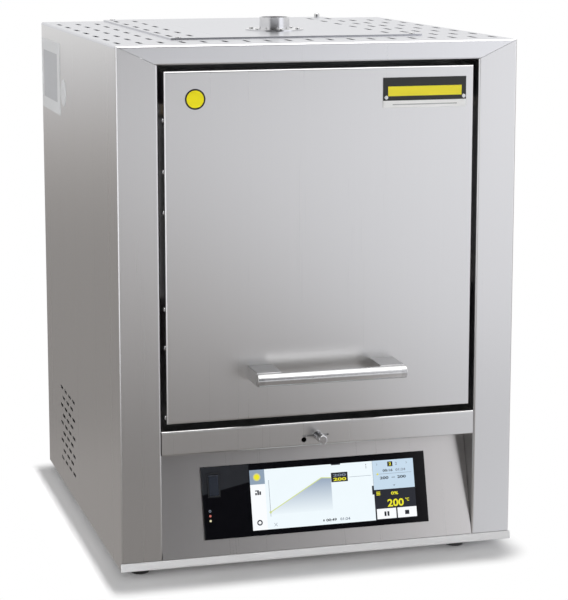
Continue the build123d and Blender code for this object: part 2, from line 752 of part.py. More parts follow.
def air_strip():
    """Folded strip under the door, with the slot and the hole of the air slider, and two
    shallow dips in its top edge."""
    half = OPENING_X - PANEL_CLEAR
    sheet = bent_sheet(
        Plane.YZ.offset(-half),
        2 * half,
        (FRONT_PLATE_Y, STRIP_TOP - SHEET / 2),
        (SHEET / 2, STRIP_TOP - SHEET / 2),
        (SHEET / 2, STRIP_BASE + SHEET / 2),
        (PANEL_BACK, STRIP_BASE + SHEET / 2),
    )
    through = (-SHEET, 2 * SHEET)
    length = AIR_SLOT_RIGHT - AIR_SLOT_LEFT
    middle = (AIR_SLOT_RIGHT + AIR_SLOT_LEFT) / 2
    slot = Rot(90, 0, 0) * extrude(SlotOverall(length, AIR_SLOT_HEIGHT), 2 * SHEET, both=True)
    cuts = [Pos(middle, SHEET / 2, AIR_SLOT_Z) * slot]
    cuts.append(rod_y(AIR_INLET_X, through, STRIP_BASE + AIR_INLET_RISE, AIR_INLET_RADIUS))
    radius = (DIP_WIDTH ** 2 / 4 + DIP_DEPTH ** 2) / (2 * DIP_DEPTH)
    for x in DIP_PLACES:
        cuts.append(rod_y(x, (-SHEET, FRONT_PLATE_Y), STRIP_TOP - DIP_DEPTH + radius, radius))
    return sheet - cuts


def slider_span():
    """Left and right ends of the sliding plate at rest."""
    return AIR_SLOT_LEFT - SLIDER_END, AIR_SLOT_RIGHT + SLIDER_END


def air_slider():
    """Plate that slides behind the strip and opens its air hole, with the knob's stem."""
    front = SHEET + SLIDER_PLAY
    span = slider_span()
    low = STRIP_BASE + FOLD_RADIUS
    high = STRIP_TOP - FOLD_RADIUS
    plate = block(span, (front, front + SLIDER_THICK), (low, high))
    stem = rod_y(KNOB_X, (-KNOB_GAP - KNOB_REACH / 2, front), AIR_SLOT_Z, STEM_RADIUS)
    through = (front - SHEET, front + 2 * SLIDER_THICK)
    hole = rod_y(AIR_INLET_X, through, STRIP_BASE + AIR_INLET_RISE, AIR_INLET_RADIUS)
    return plate + stem - hole


def air_knob():
    """Turned metal knob on the slider's stem."""
    span = (-KNOB_REACH, -KNOB_GAP)
    knob = rod_y(KNOB_X, span, AIR_SLOT_Z, KNOB_RADIUS)
    knob = fillet(knob.edges().filter_by(GeomType.CIRCLE), KNOB_RADIUS * KNOB_ROUNDING)
    bore = rod_y(KNOB_X, (-KNOB_GAP - KNOB_REACH / 2, 0), AIR_SLOT_Z, STEM_RADIUS + GLUE_FIT)
    waist_span = (-KNOB_REACH * WAIST_END, -KNOB_REACH * WAIST_START)
    waist = rod_y(KNOB_X, waist_span, AIR_SLOT_Z, KNOB_RADIUS * 2)
    waist = waist - rod_y(KNOB_X, (-KNOB_REACH, 0), AIR_SLOT_Z, KNOB_RADIUS * WAIST_RADIUS)
    return knob - bore - waist


def air_duct():
    """Sheet duct that guides the slider and takes fresh air back to the chamber's floor."""
    front = SHEET + 2 * SLIDER_PLAY + SLIDER_THICK
    left, right = slider_span()
    x = (left - DUCT_MARGIN, right + DUCT_MARGIN)
    low = STRIP_BASE + SHEET + PANEL_CLEAR
    high = BRICK_BASE - SHEET - PANEL_CLEAR
    middle = CHAMBER_Y + CHAMBER_DEPTH / 2
    back = middle + DUCT_MARGIN
    duct = block(x, (front, back), (low, high))
    inside = block(
        (x[0] + DUCT_WALL, x[1] - DUCT_WALL),
        (front - DUCT_WALL, back - DUCT_WALL),
        (low + DUCT_WALL, high - DUCT_WALL),
    )
    outlet = rod_z(0, middle, (high - 2 * DUCT_WALL, high + DUCT_WALL), AIR_HOLE_RADIUS)
    return duct - inside - outlet


# Control panel and display


def glass_span():
    """Low and high edge of the display glass up the slope."""
    return GLASS_RISE, GLASS_RISE + GLASS_HEIGHT


def control_panel():
    """Sloped sheet with the window that the display sits behind."""
    half = OPENING_X - PANEL_CLEAR
    low, high = glass_span()
    sheet = block((-half, half), (0, PANEL_LENGTH - SHEET), (-SHEET, 0))
    window_half = GLASS_WIDTH / 2 - GLASS_LEDGE
    window = block(
        (GLASS_X - window_half, GLASS_X + window_half),
        (low + GLASS_LEDGE, high - GLASS_LEDGE),
        (-2 * SHEET, SHEET),
    )
    return PANEL * (sheet - window)


def usb_frame():
    """Outline of the USB port on the panel's plane: middle X, low and high edge."""
    left = GLASS_X - GLASS_WIDTH / 2 + USB_LEFT_INSET
    high = glass_span()[1] - USB_TOP_INSET
    return left + USB_WIDTH / 2, high - USB_HEIGHT, high


def display_glass():
    """Black touch glass on the panel, with a hole for the USB port."""
    low, high = glass_span()
    half = GLASS_WIDTH / 2
    glass = block((GLASS_X - half, GLASS_X + half), (low, high), (0, GLASS_THICK))
    glass = chamfer(glass.faces().sort_by(Axis.Z)[-1].edges(), GLASS_EDGE)
    middle, base, top = usb_frame()
    x = (middle - USB_WIDTH / 2 - GLUE_FIT, middle + USB_WIDTH / 2 + GLUE_FIT)
    hole = block(x, (base - GLUE_FIT, top + GLUE_FIT), (-GLASS_THICK, 2 * GLASS_THICK))
    return PANEL * (glass - hole)


def screen_span():
    """Left, right, low and high edge of the lit screen on the panel's plane."""
    right = GLASS_X + GLASS_WIDTH / 2 - SCREEN_RIGHT_INSET
    high = glass_span()[1] - SCREEN_TOP_INSET
    return right - SCREEN_WIDTH, right, high - SCREEN_HEIGHT, high


def display_module():
    """Flat screen behind the glass."""
    left, right, low, high = screen_span()
    return PANEL * block((left, right), (low, high), (-SCREEN_THICK, 0))


def controller_box():
    """Controller housing behind the screen and the glass."""
    low, high = glass_span()
    half = GLASS_WIDTH / 2 - CONTROLLER_MARGIN
    front = -SCREEN_THICK - FIT
    span = (low + CONTROLLER_MARGIN, high - CONTROLLER_MARGIN)
    box = block((GLASS_X - half, GLASS_X + half), span, (front - CONTROLLER_DEPTH, front))
    box = fillet(box.edges().filter_by(Axis.Z), FOLD_RADIUS)
    middle, base, top = usb_frame()
    x = (middle - USB_WIDTH / 2 - PANEL_CLEAR, middle + USB_WIDTH / 2 + PANEL_CLEAR)
    notch = block(x, (base - PANEL_CLEAR, top + CONTROLLER_MARGIN), (-USB_DEPTH - PANEL_CLEAR, 0))
    return PANEL * (box - notch)


def trunnion_place():
    """Height up the slope and distance off the panel of the flap's hinge axis."""
    top = usb_frame()[2]
    return top - USB_RIM - FLAP_THICK, GLASS_THICK + USB_FRAME_PROUD / 2


def usb_port():
    """Moulded frame in the glass, with the socket's shell and its contact tongue."""
    middle, base, top = usb_frame()
    half = USB_WIDTH / 2
    body = block((middle - half, middle + half), (base, top), (-USB_DEPTH, GLASS_THICK + USB_FRAME_PROUD))
    well_x = half - USB_RIM
    floor = GLASS_THICK + USB_FRAME_PROUD - 2 * FLAP_THICK
    well = block(
        (middle - well_x, middle + well_x),
        (base + USB_RIM, top - USB_RIM),
        (floor, GLASS_THICK + 2 * USB_FRAME_PROUD),
    )
    mid_y = base + USB_RIM + (USB_HEIGHT - 2 * USB_RIM) * USB_SOCKET_PLACE
    socket_x = USB_SOCKET_WIDTH / 2
    socket_y = USB_SOCKET_HEIGHT / 2
    socket = block(
        (middle - socket_x, middle + socket_x),
        (mid_y - socket_y, mid_y + socket_y),
        (USB_RIM - USB_DEPTH, floor + USB_RIM),
    )
    tongue = block(
        (middle - socket_x, middle - socket_x + USB_TONGUE),
        (mid_y - socket_y + USB_RIM, mid_y + socket_y - USB_RIM),
        (-USB_DEPTH, floor - USB_RIM),
    )
    hinge_y, hinge_z = trunnion_place()
    span = (middle - half + USB_RIM / 3, middle + half - USB_RIM / 3)
    hinge = rod_x(span, hinge_y, hinge_z, TRUNNION_RADIUS + FIT)
    return PANEL * (body - well - socket + tongue - hinge)


def usb_flap():
    """Soft cover over the USB port, hung on two small trunnions at its top."""
    middle, base, top = usb_frame()
    half = USB_WIDTH / 2 - USB_RIM - FLAP_EDGE_CLEAR
    hinge_y, hinge_z = trunnion_place()
    face = GLASS_THICK + USB_FRAME_PROUD
    x = (middle - half, middle + half)
    plate = block(x, (base + USB_RIM + FLAP_EDGE_CLEAR, hinge_y), (face - FLAP_THICK, face))
    barrel = rod_x(x, hinge_y, hinge_z, hinge_z - face + FLAP_THICK)
    pins_x = USB_WIDTH / 2 - USB_RIM / 2
    pins = rod_x((middle - pins_x, middle + pins_x), hinge_y, hinge_z, TRUNNION_RADIUS)
    return PANEL * (plate + barrel + pins)


# Door


def door_tray():
    """Brushed front sheet of the door, folded back on all four sides."""
    tray = block((-DOOR_X, DOOR_X), (-DOOR_PROUD, DOOR_BACK), (DOOR_BASE, DOOR_TOP))
    tray = fillet(tray.faces().sort_by(Axis.Y)[0].edges(), FOLD_RADIUS)
    inside = block(
        (SHEET - DOOR_X, DOOR_X - SHEET),
        (SHEET - DOOR_PROUD, DOOR_BACK + SHEET),
        (DOOR_BASE + SHEET, DOOR_TOP - SHEET),
    )
    reliefs = []
    for x in (-DOOR_X, DOOR_X):
        for z in (DOOR_BASE, DOOR_TOP):
            low = (x - CORNER_RELIEF, x + CORNER_RELIEF)
            reliefs.append(block(low, (FOLD_RADIUS, DOOR_BACK), (z - CORNER_RELIEF, z + CORNER_RELIEF)))
    return tray - inside - reliefs - door_screw_holes()


def door_screw_holes():
    """Holes for the screws down both sides of the door, through its tray into the board."""
    reach = (DOOR_X - DOOR_SCREW_REACH - FIT, DOOR_X + SHEET)
    holes = [rod_x(reach, DOOR_SCREW_Y, z, DOOR_SCREW_SHANK_RADIUS + FIT) for z in DOOR_SCREW_HEIGHTS]
    return holes + [mirrored(hole) for hole in holes]


def door_board():
    """Insulating board that fills the door tray."""
    gap = SHEET + PANEL_CLEAR
    board = block(
        (gap - DOOR_X, DOOR_X - gap),
        (SHEET - DOOR_PROUD, DOOR_BACK - SHEET),
        (DOOR_BASE + gap, DOOR_TOP - gap),
    )
    return board - door_screw_holes()


def door_back():
    """Steel plate that closes the back of the door tray."""
    gap = SHEET + PANEL_CLEAR / 2
    return block(
        (gap - DOOR_X, DOOR_X - gap),
        (DOOR_BACK - SHEET, DOOR_BACK),
        (DOOR_BASE + gap, DOOR_TOP - gap),
    )


def door_plug():
    """Stepped ceramic-fibre plug whose nose enters the chamber's mouth."""
    half_x = PLUG_WIDTH / 2
    half_z = PLUG_HEIGHT / 2
    base = block((-half_x, half_x), (DOOR_BACK, PLUG_BACK), (DOOR_MID - half_z, DOOR_MID + half_z))
    nose_x = CHAMBER_WIDTH / 2 - NOSE_CLEAR
    nose_z = CHAMBER_HEIGHT / 2 - NOSE_CLEAR
    nose = block((-nose_x, nose_x), (PLUG_BACK, NOSE_TIP), (DOOR_MID - nose_z, DOOR_MID + nose_z))
    return base + nose


def door_gasket():
    """Flat fibre gasket round the plug, that meets the plate round the mouth."""
    half_x = PLUG_WIDTH / 2
    half_z = PLUG_HEIGHT / 2
    span = (PLUG_BACK, PLUG_BACK + GASKET_DEPTH)
    outer = block((-half_x, half_x), span, (DOOR_MID - half_z, DOOR_MID + half_z))
    in_x = half_x - GASKET_BAND
    in_z = half_z - GASKET_BAND
    return outer - block((-in_x, in_x), span, (DOOR_MID - in_z, DOOR_MID + in_z))


def door_pivots():
    """Places of the two pivots at each side of the door."""
    return [(UPPER_PIVOT_Y, DOOR_UPPER_PIVOT), (LOWER_PIVOT_Y, DOOR_LOWER_PIVOT)]


def door_brackets():
    """Four angle brackets behind the door that carry its pivot pins."""
    ear_out = DOOR_X - EAR_SIDE_INSET
    ear = (ear_out - EAR_THICK, ear_out)
    brackets = []
    for y, z in door_pivots():
        height = (z - EAR_HALF_HEIGHT, z + EAR_HALF_HEIGHT)
        leaf = block(ear, (DOOR_BACK, y + EAR_MARGIN), height)
        leaf = fillet(leaf.edges().filter_by(Axis.X).group_by(Axis.Y)[-1], EAR_MARGIN * EAR_ROUNDING)
        foot = block((ear_out - EAR_FLANGE, ear_out), (DOOR_BACK, DOOR_BACK + EAR_FLANGE_THICK), height)
        hole = rod_x((ear[0] - SHEET, ear[1] + SHEET), y, z, PIN_RADIUS + FIT)
        bracket = leaf + foot - hole
        brackets += [bracket, mirrored(bracket)]
    return group(brackets)


def door_pivot_pins():
    """Shoulder pins on the door brackets that the arms turn on."""
    ear_out = DOOR_X - EAR_SIDE_INSET
    tail = ear_out - EAR_THICK
    pins = []
    for y, z in door_pivots():
        head_in = ARM_OUT + SIDE_PLAY
        shank = rod_x((tail, head_in), y, z, PIN_RADIUS)
        shoulder = rod_x((ear_out, ARM_IN - SIDE_PLAY), y, z, PIN_HEAD_RADIUS)
        head = rod_x((head_in, head_in + PIN_HEAD), y, z, PIN_HEAD_RADIUS)
        rivet = rod_x((tail - PIN_HEAD, tail), y, z, PIN_HEAD_RADIUS)
        pin = shank + shoulder + head + rivet
        pins += [pin, mirrored(pin)]
    return group(pins)


def handle_bar():
    """Round tube of the handle between its end caps."""
    half = BAR_LENGTH / 2 - CAP_LENGTH
    bar = rod_x((-half, half), BAR_Y, BAR_Z, BAR_RADIUS)
    return bar - rod_x((-half, half), BAR_Y, BAR_Z, CAP_SPIGOT_RADIUS + FIT)


def handle_caps():
    """Two end caps with spigots inside the handle's tube."""
    end = BAR_LENGTH / 2
    start = end - CAP_LENGTH
    cap = rod_x((start, end), BAR_Y, BAR_Z, BAR_RADIUS)
    cap = fillet(cap.faces().sort_by(Axis.X)[-1].edges(), BAR_RADIUS * CAP_ROUNDING)
    cap = cap + rod_x((start - CAP_SPIGOT, start), BAR_Y, BAR_Z, CAP_SPIGOT_RADIUS)
    return group([cap, mirrored(cap)])


def handle_posts():
    """Two flat posts from the door to the bar, seated round its back."""
    outer = BAR_LENGTH / 2 - POST_INSET
    half = POST_HEIGHT / 2
    span = (BAR_Y + POST_SEAT_DEPTH, -DOOR_PROUD)
    post = block((outer - POST_WIDTH, outer), span, (BAR_Z - half, BAR_Z + half))
    post = chamfer(post.edges().filter_by(Axis.Y), POST_EDGE)
    post = post - rod_x((0, BAR_LENGTH), BAR_Y, BAR_Z, BAR_RADIUS + FIT)
    return group([post, mirrored(post)])


def nameplate_span():
    """Left, right, low and high edge of the blank nameplate."""
    right = DOOR_X - NAMEPLATE_RIGHT_INSET
    top = DOOR_TOP - NAMEPLATE_TOP_INSET
    return right - NAMEPLATE_WIDTH, right, top - NAMEPLATE_HEIGHT, top


def nameplate_screw_places():
    """Middles of the nameplate's two screws."""
    left, right, low, high = nameplate_span()
    z = high - NAMEPLATE_SCREW_DROP
    return [(left + NAMEPLATE_SCREW_INSET, z), (right - NAMEPLATE_SCREW_INSET, z)]


def nameplate():
    """Blank nameplate on the door."""
    left, right, low, high = nameplate_span()
    plate = block((left, right), (-DOOR_PROUD - NAMEPLATE_THICK, -DOOR_PROUD), (low, high))
    through = (-DOOR_PROUD - 2 * NAMEPLATE_THICK, 0)
    return plate - [rod_y(x, through, z, NAMEPLATE_SHANK_RADIUS + FIT) for x, z in nameplate_screw_places()]


def door_screws():
    """Round-head screws of the door: two in the nameplate, six down each side into the board."""
    face = -DOOR_PROUD - NAMEPLATE_THICK
    screws = []
    for x, z in nameplate_screw_places():
        head = rod_y(x, (face - NAMEPLATE_SCREW_HEAD, face), z, NAMEPLATE_SCREW_RADIUS)
        head = fillet(head.faces().sort_by(Axis.Y)[0].edges(), NAMEPLATE_SCREW_HEAD * SCREW_ROUNDING)
        screws.append(head + rod_y(x, (face, -DOOR_PROUD), z, NAMEPLATE_SHANK_RADIUS))
    for z in DOOR_SCREW_HEIGHTS:
        head = rod_x((DOOR_X, DOOR_X + DOOR_SCREW_HEAD), DOOR_SCREW_Y, z, DOOR_SCREW_RADIUS)
        head = fillet(head.faces().sort_by(Axis.X)[-1].edges(), DOOR_SCREW_HEAD * DOME_ROUNDING)
        screw = head + rod_x((DOOR_X - DOOR_SCREW_REACH, DOOR_X), DOOR_SCREW_Y, z, DOOR_SCREW_SHANK_RADIUS)
        screws += [screw, mirrored(screw)]
    return group(screws)


# Lift linkage


def arm(pivot_y, top, top_hole, bottom_hole):
    """Flat right-hand arm that hangs down from its casing pivot."""
    flat = extrude(SlotCenterToCenter(ARM_LENGTH, ARM_WIDTH), ARM_THICK)
    flat = Pos(ARM_IN, pivot_y, top - ARM_LENGTH / 2) * Rot(0, 90, 0) * flat
    span = (ARM_IN - HUB_LENGTH - SHEET, ARM_OUT + SHEET)
    holes = [rod_x(span, pivot_y, top, top_hole), rod_x(span, pivot_y, top - ARM_LENGTH, bottom_hole)]
    return flat, holes


def upper_arms():
    """Two arms clamped on the lift shaft, that carry the top of the door."""
    flat, holes = arm(UPPER_PIVOT_Y, BODY_UPPER_PIVOT, SHAFT_RADIUS + GLUE_FIT, PIN_RADIUS + FIT)
    hub = rod_x((ARM_IN - HUB_LENGTH, ARM_OUT), UPPER_PIVOT_Y, BODY_UPPER_PIVOT, HUB_RADIUS)
    right = flat + hub - holes
    return group([right, mirrored(right)])


def lower_arms():
    """Two arms that keep the door upright as it lifts."""
    flat, holes = arm(LOWER_PIVOT_Y, BODY_LOWER_PIVOT, PIN_RADIUS + FIT, PIN_RADIUS + OPEN_PIVOT_CLEAR)
    right = flat - holes
    return group([right, mirrored(right)])


def shaft_collar_start():
    """Inner face of the collars at the ends of the lift shaft."""
    return OPENING_X + SHEET + BUSH_TAIL + SIDE_PLAY


def lift_shaft():
    """Shaft across the furnace that makes both upper arms turn together."""
    start = shaft_collar_start()
    end = start + SHAFT_COLLAR
    shaft = rod_x((-end, end), UPPER_PIVOT_Y, BODY_UPPER_PIVOT, SHAFT_RADIUS)
    collar = rod_x((start, end), UPPER_PIVOT_Y, BODY_UPPER_PIVOT, SHAFT_COLLAR_RADIUS)
    return shaft + collar + mirrored(collar)


def shaft_bushes():
    """Flanged bushes in the jambs' returns that the lift shaft turns in."""
    flange = rod_x((OPENING_X - BUSH_FLANGE, OPENING_X), UPPER_PIVOT_Y, BODY_UPPER_PIVOT, HUB_RADIUS)
    sleeve_x = (OPENING_X - BUSH_FLANGE, OPENING_X + SHEET + BUSH_TAIL)
    sleeve = rod_x(sleeve_x, UPPER_PIVOT_Y, BODY_UPPER_PIVOT, SHAFT_RADIUS + BUSH_WALL)
    bore = rod_x((ARM_OUT, OPENING_X + NUT_HEIGHT * 2), UPPER_PIVOT_Y, BODY_UPPER_PIVOT, SHAFT_RADIUS + FIT)
    bush = flange + sleeve - bore
    return group([bush, mirrored(bush)])


def casing_pivot_pins():
    """Shoulder pins in the jambs' returns that the lower arms turn on."""
    nut_x = OPENING_X + SHEET
    head_out = ARM_IN - SIDE_PLAY
    place = (LOWER_PIVOT_Y, BODY_LOWER_PIVOT)
    shank = rod_x((head_out, nut_x + NUT_HEIGHT), *place, PIN_RADIUS)
    head = rod_x((head_out - PIN_HEAD, head_out), *place, PIN_HEAD_RADIUS)
    shoulder = rod_x((ARM_OUT + SIDE_PLAY, OPENING_X), *place, PIN_HEAD_RADIUS)
    nut = rod_x((nut_x, nut_x + NUT_HEIGHT), *place, NUT_RADIUS)
    pin = shank + head + shoulder + nut
    return group([pin, mirrored(pin)])


# Firing chamber


def mouth(y):
    """Block through the chamber's mouth between two Y values."""
    half = CHAMBER_WIDTH / 2
    return block((-half, half), y, (CHAMBER_BASE, CHAMBER_TOP))


def inner_front_plate():
    """Steel plate behind the door with the window round the chamber's mouth."""
    half = OPENING_X + SHEET
    plate = block((-half, half), (FRONT_PLATE_Y, COLLAR_Y), (STRIP_TOP - SHEET, OPENING_TOP + SHEET))
    window_x = CHAMBER_WIDTH / 2 + WINDOW_MARGIN
    window_z = CHAMBER_HEIGHT / 2 + WINDOW_MARGIN
    through = (FRONT_PLATE_Y - SHEET, COLLAR_Y + SHEET)
    return plate - block((-window_x, window_x), through, (DOOR_MID - window_z, DOOR_MID + window_z))


def chamber_shell():
    """Steel wrap round the insulation, open at the front."""
    out_x = BRICK_X + PANEL_CLEAR + SHEET
    span_z = (BRICK_BASE - SHEET, BRICK_TOP + SHEET)
    shell = block((-out_x, out_x), (COLLAR_Y, BRICK_BACK + SHEET), span_z)
    in_x = BRICK_X + PANEL_CLEAR
    shell = shell - block((-in_x, in_x), (FRONT_PLATE_Y, BRICK_BACK), (BRICK_BASE, BRICK_TOP))
    above = (BRICK_TOP - SHEET, BRICK_TOP + 2 * SHEET)
    cuts = [rod_z(x, y, above, TERMINAL_RADIUS + SLIP_FIT) for x, y in shank_places()]
    cuts.append(rod_z(STACK_X, STACK_Y, above, TUBE_RADIUS + SLIP_FIT))
    below = (BRICK_BASE - 2 * SHEET, BRICK_BASE + SHEET)
    cuts.append(rod_z(0, CHAMBER_Y + CHAMBER_DEPTH / 2, below, AIR_HOLE_RADIUS))
    behind = (BRICK_BACK - SHEET, BRICK_BACK + 2 * SHEET)
    cuts.append(rod_y(0, behind, DOOR_MID + SHEATH_ABOVE_MID, SHEATH_RADIUS + SLIP_FIT))
    return shell - cuts


def collar_brick():
    """Front insulation slab with the chamber's mouth through it."""
    slab = block((-BRICK_X, BRICK_X), (COLLAR_Y, CHAMBER_Y), (BRICK_BASE, BRICK_TOP))
    return slab - mouth((COLLAR_Y, CHAMBER_Y))


def floor_brick():
    """Insulation under the chamber, with the fresh-air hole."""
    slab = block((-BRICK_X, BRICK_X), (CHAMBER_Y, CHAMBER_BACK), (BRICK_BASE, CHAMBER_BASE))
    return slab - rod_z(0, CHAMBER_Y + CHAMBER_DEPTH / 2, (BRICK_BASE, CHAMBER_BASE), AIR_HOLE_RADIUS)


def roof_brick():
    """Insulation over the chamber, with holes for the elements and the exhaust tube."""
    slab = block((-BRICK_X, BRICK_X), (CHAMBER_Y, CHAMBER_BACK), (CHAMBER_TOP, BRICK_TOP))
    span = (CHAMBER_TOP - SHEET, BRICK_TOP + SHEET)
    cuts = [rod_z(x, y, span, TERMINAL_RADIUS + SLIP_FIT) for x, y in shank_places()]
    cuts.append(rod_z(STACK_X, STACK_Y, span, TUBE_RADIUS + SLIP_FIT))
    return slab - cuts


def side_bricks():
    """Insulation slabs left and right of the chamber."""
    slab = block((CHAMBER_WIDTH / 2, BRICK_X), (CHAMBER_Y, CHAMBER_BACK), (CHAMBER_BASE, CHAMBER_TOP))
    return group([slab, mirrored(slab)])


def rear_brick():
    """Insulation behind the chamber, with the thermocouple's hole."""
    slab = block((-BRICK_X, BRICK_X), (CHAMBER_BACK, BRICK_BACK), (BRICK_BASE, BRICK_TOP))
    return slab - rod_y(0, (CHAMBER_BACK, BRICK_BACK), DOOR_MID + SHEATH_ABOVE_MID, SHEATH_RADIUS + SLIP_FIT)


def hearth_plate():
    """Ceramic plate that the work stands on."""
    half = HEARTH_WIDTH / 2
    margin = (CHAMBER_DEPTH - HEARTH_DEPTH) / 2
    span_y = (CHAMBER_Y + margin, CHAMBER_BACK - margin)
    plate = block((-half, half), span_y, (CHAMBER_BASE, CHAMBER_BASE + HEARTH_THICK))
    return fillet(plate.edges().filter_by(Axis.Z), HEARTH_THICK / 2)


def shank_places():
    """Middles of the eight element shanks."""
    places = []
    for x in (-ELEMENT_X, ELEMENT_X):
        for middle in ELEMENT_MIDS:
            places += [(x, middle - SHANK_SPACING / 2), (x, middle + SHANK_SPACING / 2)]
    return places


def heating_elements():
    """Four hanging U-shaped elements with thick cold ends."""
    bottom = CHAMBER_BASE + ELEMENT_FLOOR_GAP
    bend = SHANK_SPACING / 2
    elements = []
    for x in (-ELEMENT_X, ELEMENT_X):
        for middle in ELEMENT_MIDS:
            turn = Torus(bend, SHANK_RADIUS)
            turn = Pos(x, middle, bottom + bend + SHANK_RADIUS) * Rot(0, 90, 0) * turn
            low = bottom + bend + SHANK_RADIUS
            turn = turn & block((x - bend, x + bend), (middle - 2 * bend, middle + 2 * bend), (bottom, low))
            for y in (middle - bend, middle + bend):
                turn = turn + rod_z(x, y, (low, CHAMBER_TOP), SHANK_RADIUS)
                turn = turn + rod_z(x, y, (CHAMBER_TOP, TERMINAL_TOP), TERMINAL_RADIUS)
            elements.append(turn)
    return group(elements)


def element_holders():
    """Ceramic blocks on the chamber's roof that hold each element by its cold ends."""
    base = BRICK_TOP + SHEET
    holders = []
    for x in (-ELEMENT_X, ELEMENT_X):
        for middle in ELEMENT_MIDS:
            reach = SHANK_SPACING / 2 + HOLDER_MARGIN
            span_x = (x - HOLDER_WIDTH / 2, x + HOLDER_WIDTH / 2)
            holder = block(span_x, (middle - reach, middle + reach), (base, base + HOLDER_HEIGHT))
            for y in (middle - SHANK_SPACING / 2, middle + SHANK_SPACING / 2):
                holder = holder - rod_z(x, y, (base, base + HOLDER_HEIGHT), TERMINAL_RADIUS + FIT)
            holders.append(holder)
    return group(holders)


def clamp(x, y):
    """Terminal clamp block round the end of one shank."""
    half = CLAMP_SIZE / 2
    body = block((x - half, x + half), (y - half, y + half), (CLAMP_BASE, CLAMP_TOP))
    return body - rod_z(x, y, (CLAMP_BASE - SHEET, CLAMP_TOP + SHEET), TERMINAL_RADIUS + FIT)


def terminal_straps():
    """Clamps and straps that join the elements in series, and two bars to the transformer."""
    first, second = ELEMENT_MIDS
    near = first - SHANK_SPACING / 2
    inner = (first + SHANK_SPACING / 2, second - SHANK_SPACING / 2)
    far = second + SHANK_SPACING / 2
    strap_z = (CLAMP_BASE, CLAMP_BASE + STRAP_THICK)
    half = CLAMP_SIZE / 2
    cross = clamp(-ELEMENT_X, near) + clamp(ELEMENT_X, near)
    cross_y = (near - STRAP_WIDTH / 2, near + STRAP_WIDTH / 2)
    cross = cross + block((half - ELEMENT_X, ELEMENT_X - half), cross_y, strap_z)
    link = clamp(ELEMENT_X, inner[0]) + clamp(ELEMENT_X, inner[1])
    link_x = (ELEMENT_X - STRAP_WIDTH / 2, ELEMENT_X + STRAP_WIDTH / 2)
    link = link + block(link_x, (inner[0] + half, inner[1] - half), strap_z)
    back = BRICK_BACK + SHEET + BUSBAR_BACK
    drop = CASE_BASE + SHEET + TRANSFORMER_HEIGHT
    bar = clamp(ELEMENT_X, far)
    bar = bar + block(link_x, (far + half, back + STRAP_THICK), strap_z)
    bar = bar + block(link_x, (back, back + STRAP_THICK), (drop, CLAMP_BASE + STRAP_THICK))
    return group([cross, link, mirrored(link), bar, mirrored(bar)])


def thermocouple():
    """Ceramic sheath through the rear insulation with its connection head."""
    z = DOOR_MID + SHEATH_ABOVE_MID
    head_start = BRICK_BACK + SHEET + SHEATH_TAIL
    sheath = rod_y(0, (CHAMBER_BACK - SHEATH_REACH, head_start), z, SHEATH_RADIUS)
    head = rod_y(0, (head_start, head_start + HEAD_LENGTH), z, HEAD_RADIUS)
    head = fillet(head.edges().filter_by(GeomType.CIRCLE), FOLD_RADIUS)
    return sheath + head


def exhaust_tube():
    """Ceramic tube from the chamber up to the stack."""
    span = (CHAMBER_TOP, CASE_TOP - TUBE_TOP_DROP)
    return rod_z(STACK_X, STACK_Y, span, TUBE_RADIUS) - rod_z(STACK_X, STACK_Y, span, TUBE_BORE)


# Electrical pieces


def transformer():
    """Power transformer: laminated core with its wound coil."""
    base = CASE_BASE + SHEET
    half = TRANSFORMER_WIDTH / 2
    back = CASE_DEPTH - SHEET - TRANSFORMER_REAR_GAP
    front = back - TRANSFORMER_DEPTH
    leg = TRANSFORMER_LEG
    x = (TRANSFORMER_X - half, TRANSFORMER_X + half)
    core = block(x, (front + leg, back - leg), (base, base + TRANSFORMER_HEIGHT))
    coil_x = (x[0] + leg, x[1] - leg)
    coil = block(coil_x, (front, back), (base + leg, base + TRANSFORMER_HEIGHT - leg))
    coil = fillet(coil.edges().filter_by(Axis.Z), leg * COIL_ROUNDING)
    return core + coil


def heat_sink():
    """Finned block under the solid-state relay."""
    base = CASE_BASE + SHEET
    half = SINK_WIDTH / 2
    span_y = (SINK_Y, SINK_Y + SINK_LENGTH)
    top = base + SINK_HEIGHT
    sink = block((SINK_X - half, SINK_X + half), span_y, (top - SINK_BASE, top))
    step = (SINK_WIDTH - SINK_FIN_THICK) / (SINK_FINS - 1)
    for fin in range(SINK_FINS):
        x = SINK_X - half + fin * step
        sink = sink + block((x, x + SINK_FIN_THICK), span_y, (base, top))
    return sink


def power_relay():
    """Solid-state relay on the heat sink."""
    base = CASE_BASE + SHEET + SINK_HEIGHT
    middle = SINK_Y + SINK_LENGTH / 2
    span_x = (SINK_X - RELAY_WIDTH / 2, SINK_X + RELAY_WIDTH / 2)
    span_y = (middle - RELAY_LENGTH / 2, middle + RELAY_LENGTH / 2)
    top = base + RELAY_HEIGHT
    body = block(span_x, span_y, (base, top))
    step_y = (middle + RELAY_LENGTH * RELAY_STEP_PLACE, middle + RELAY_LENGTH)
    step = block(span_x, step_y, (base + RELAY_HEIGHT * RELAY_STEP_HEIGHT, top))
    return body - step


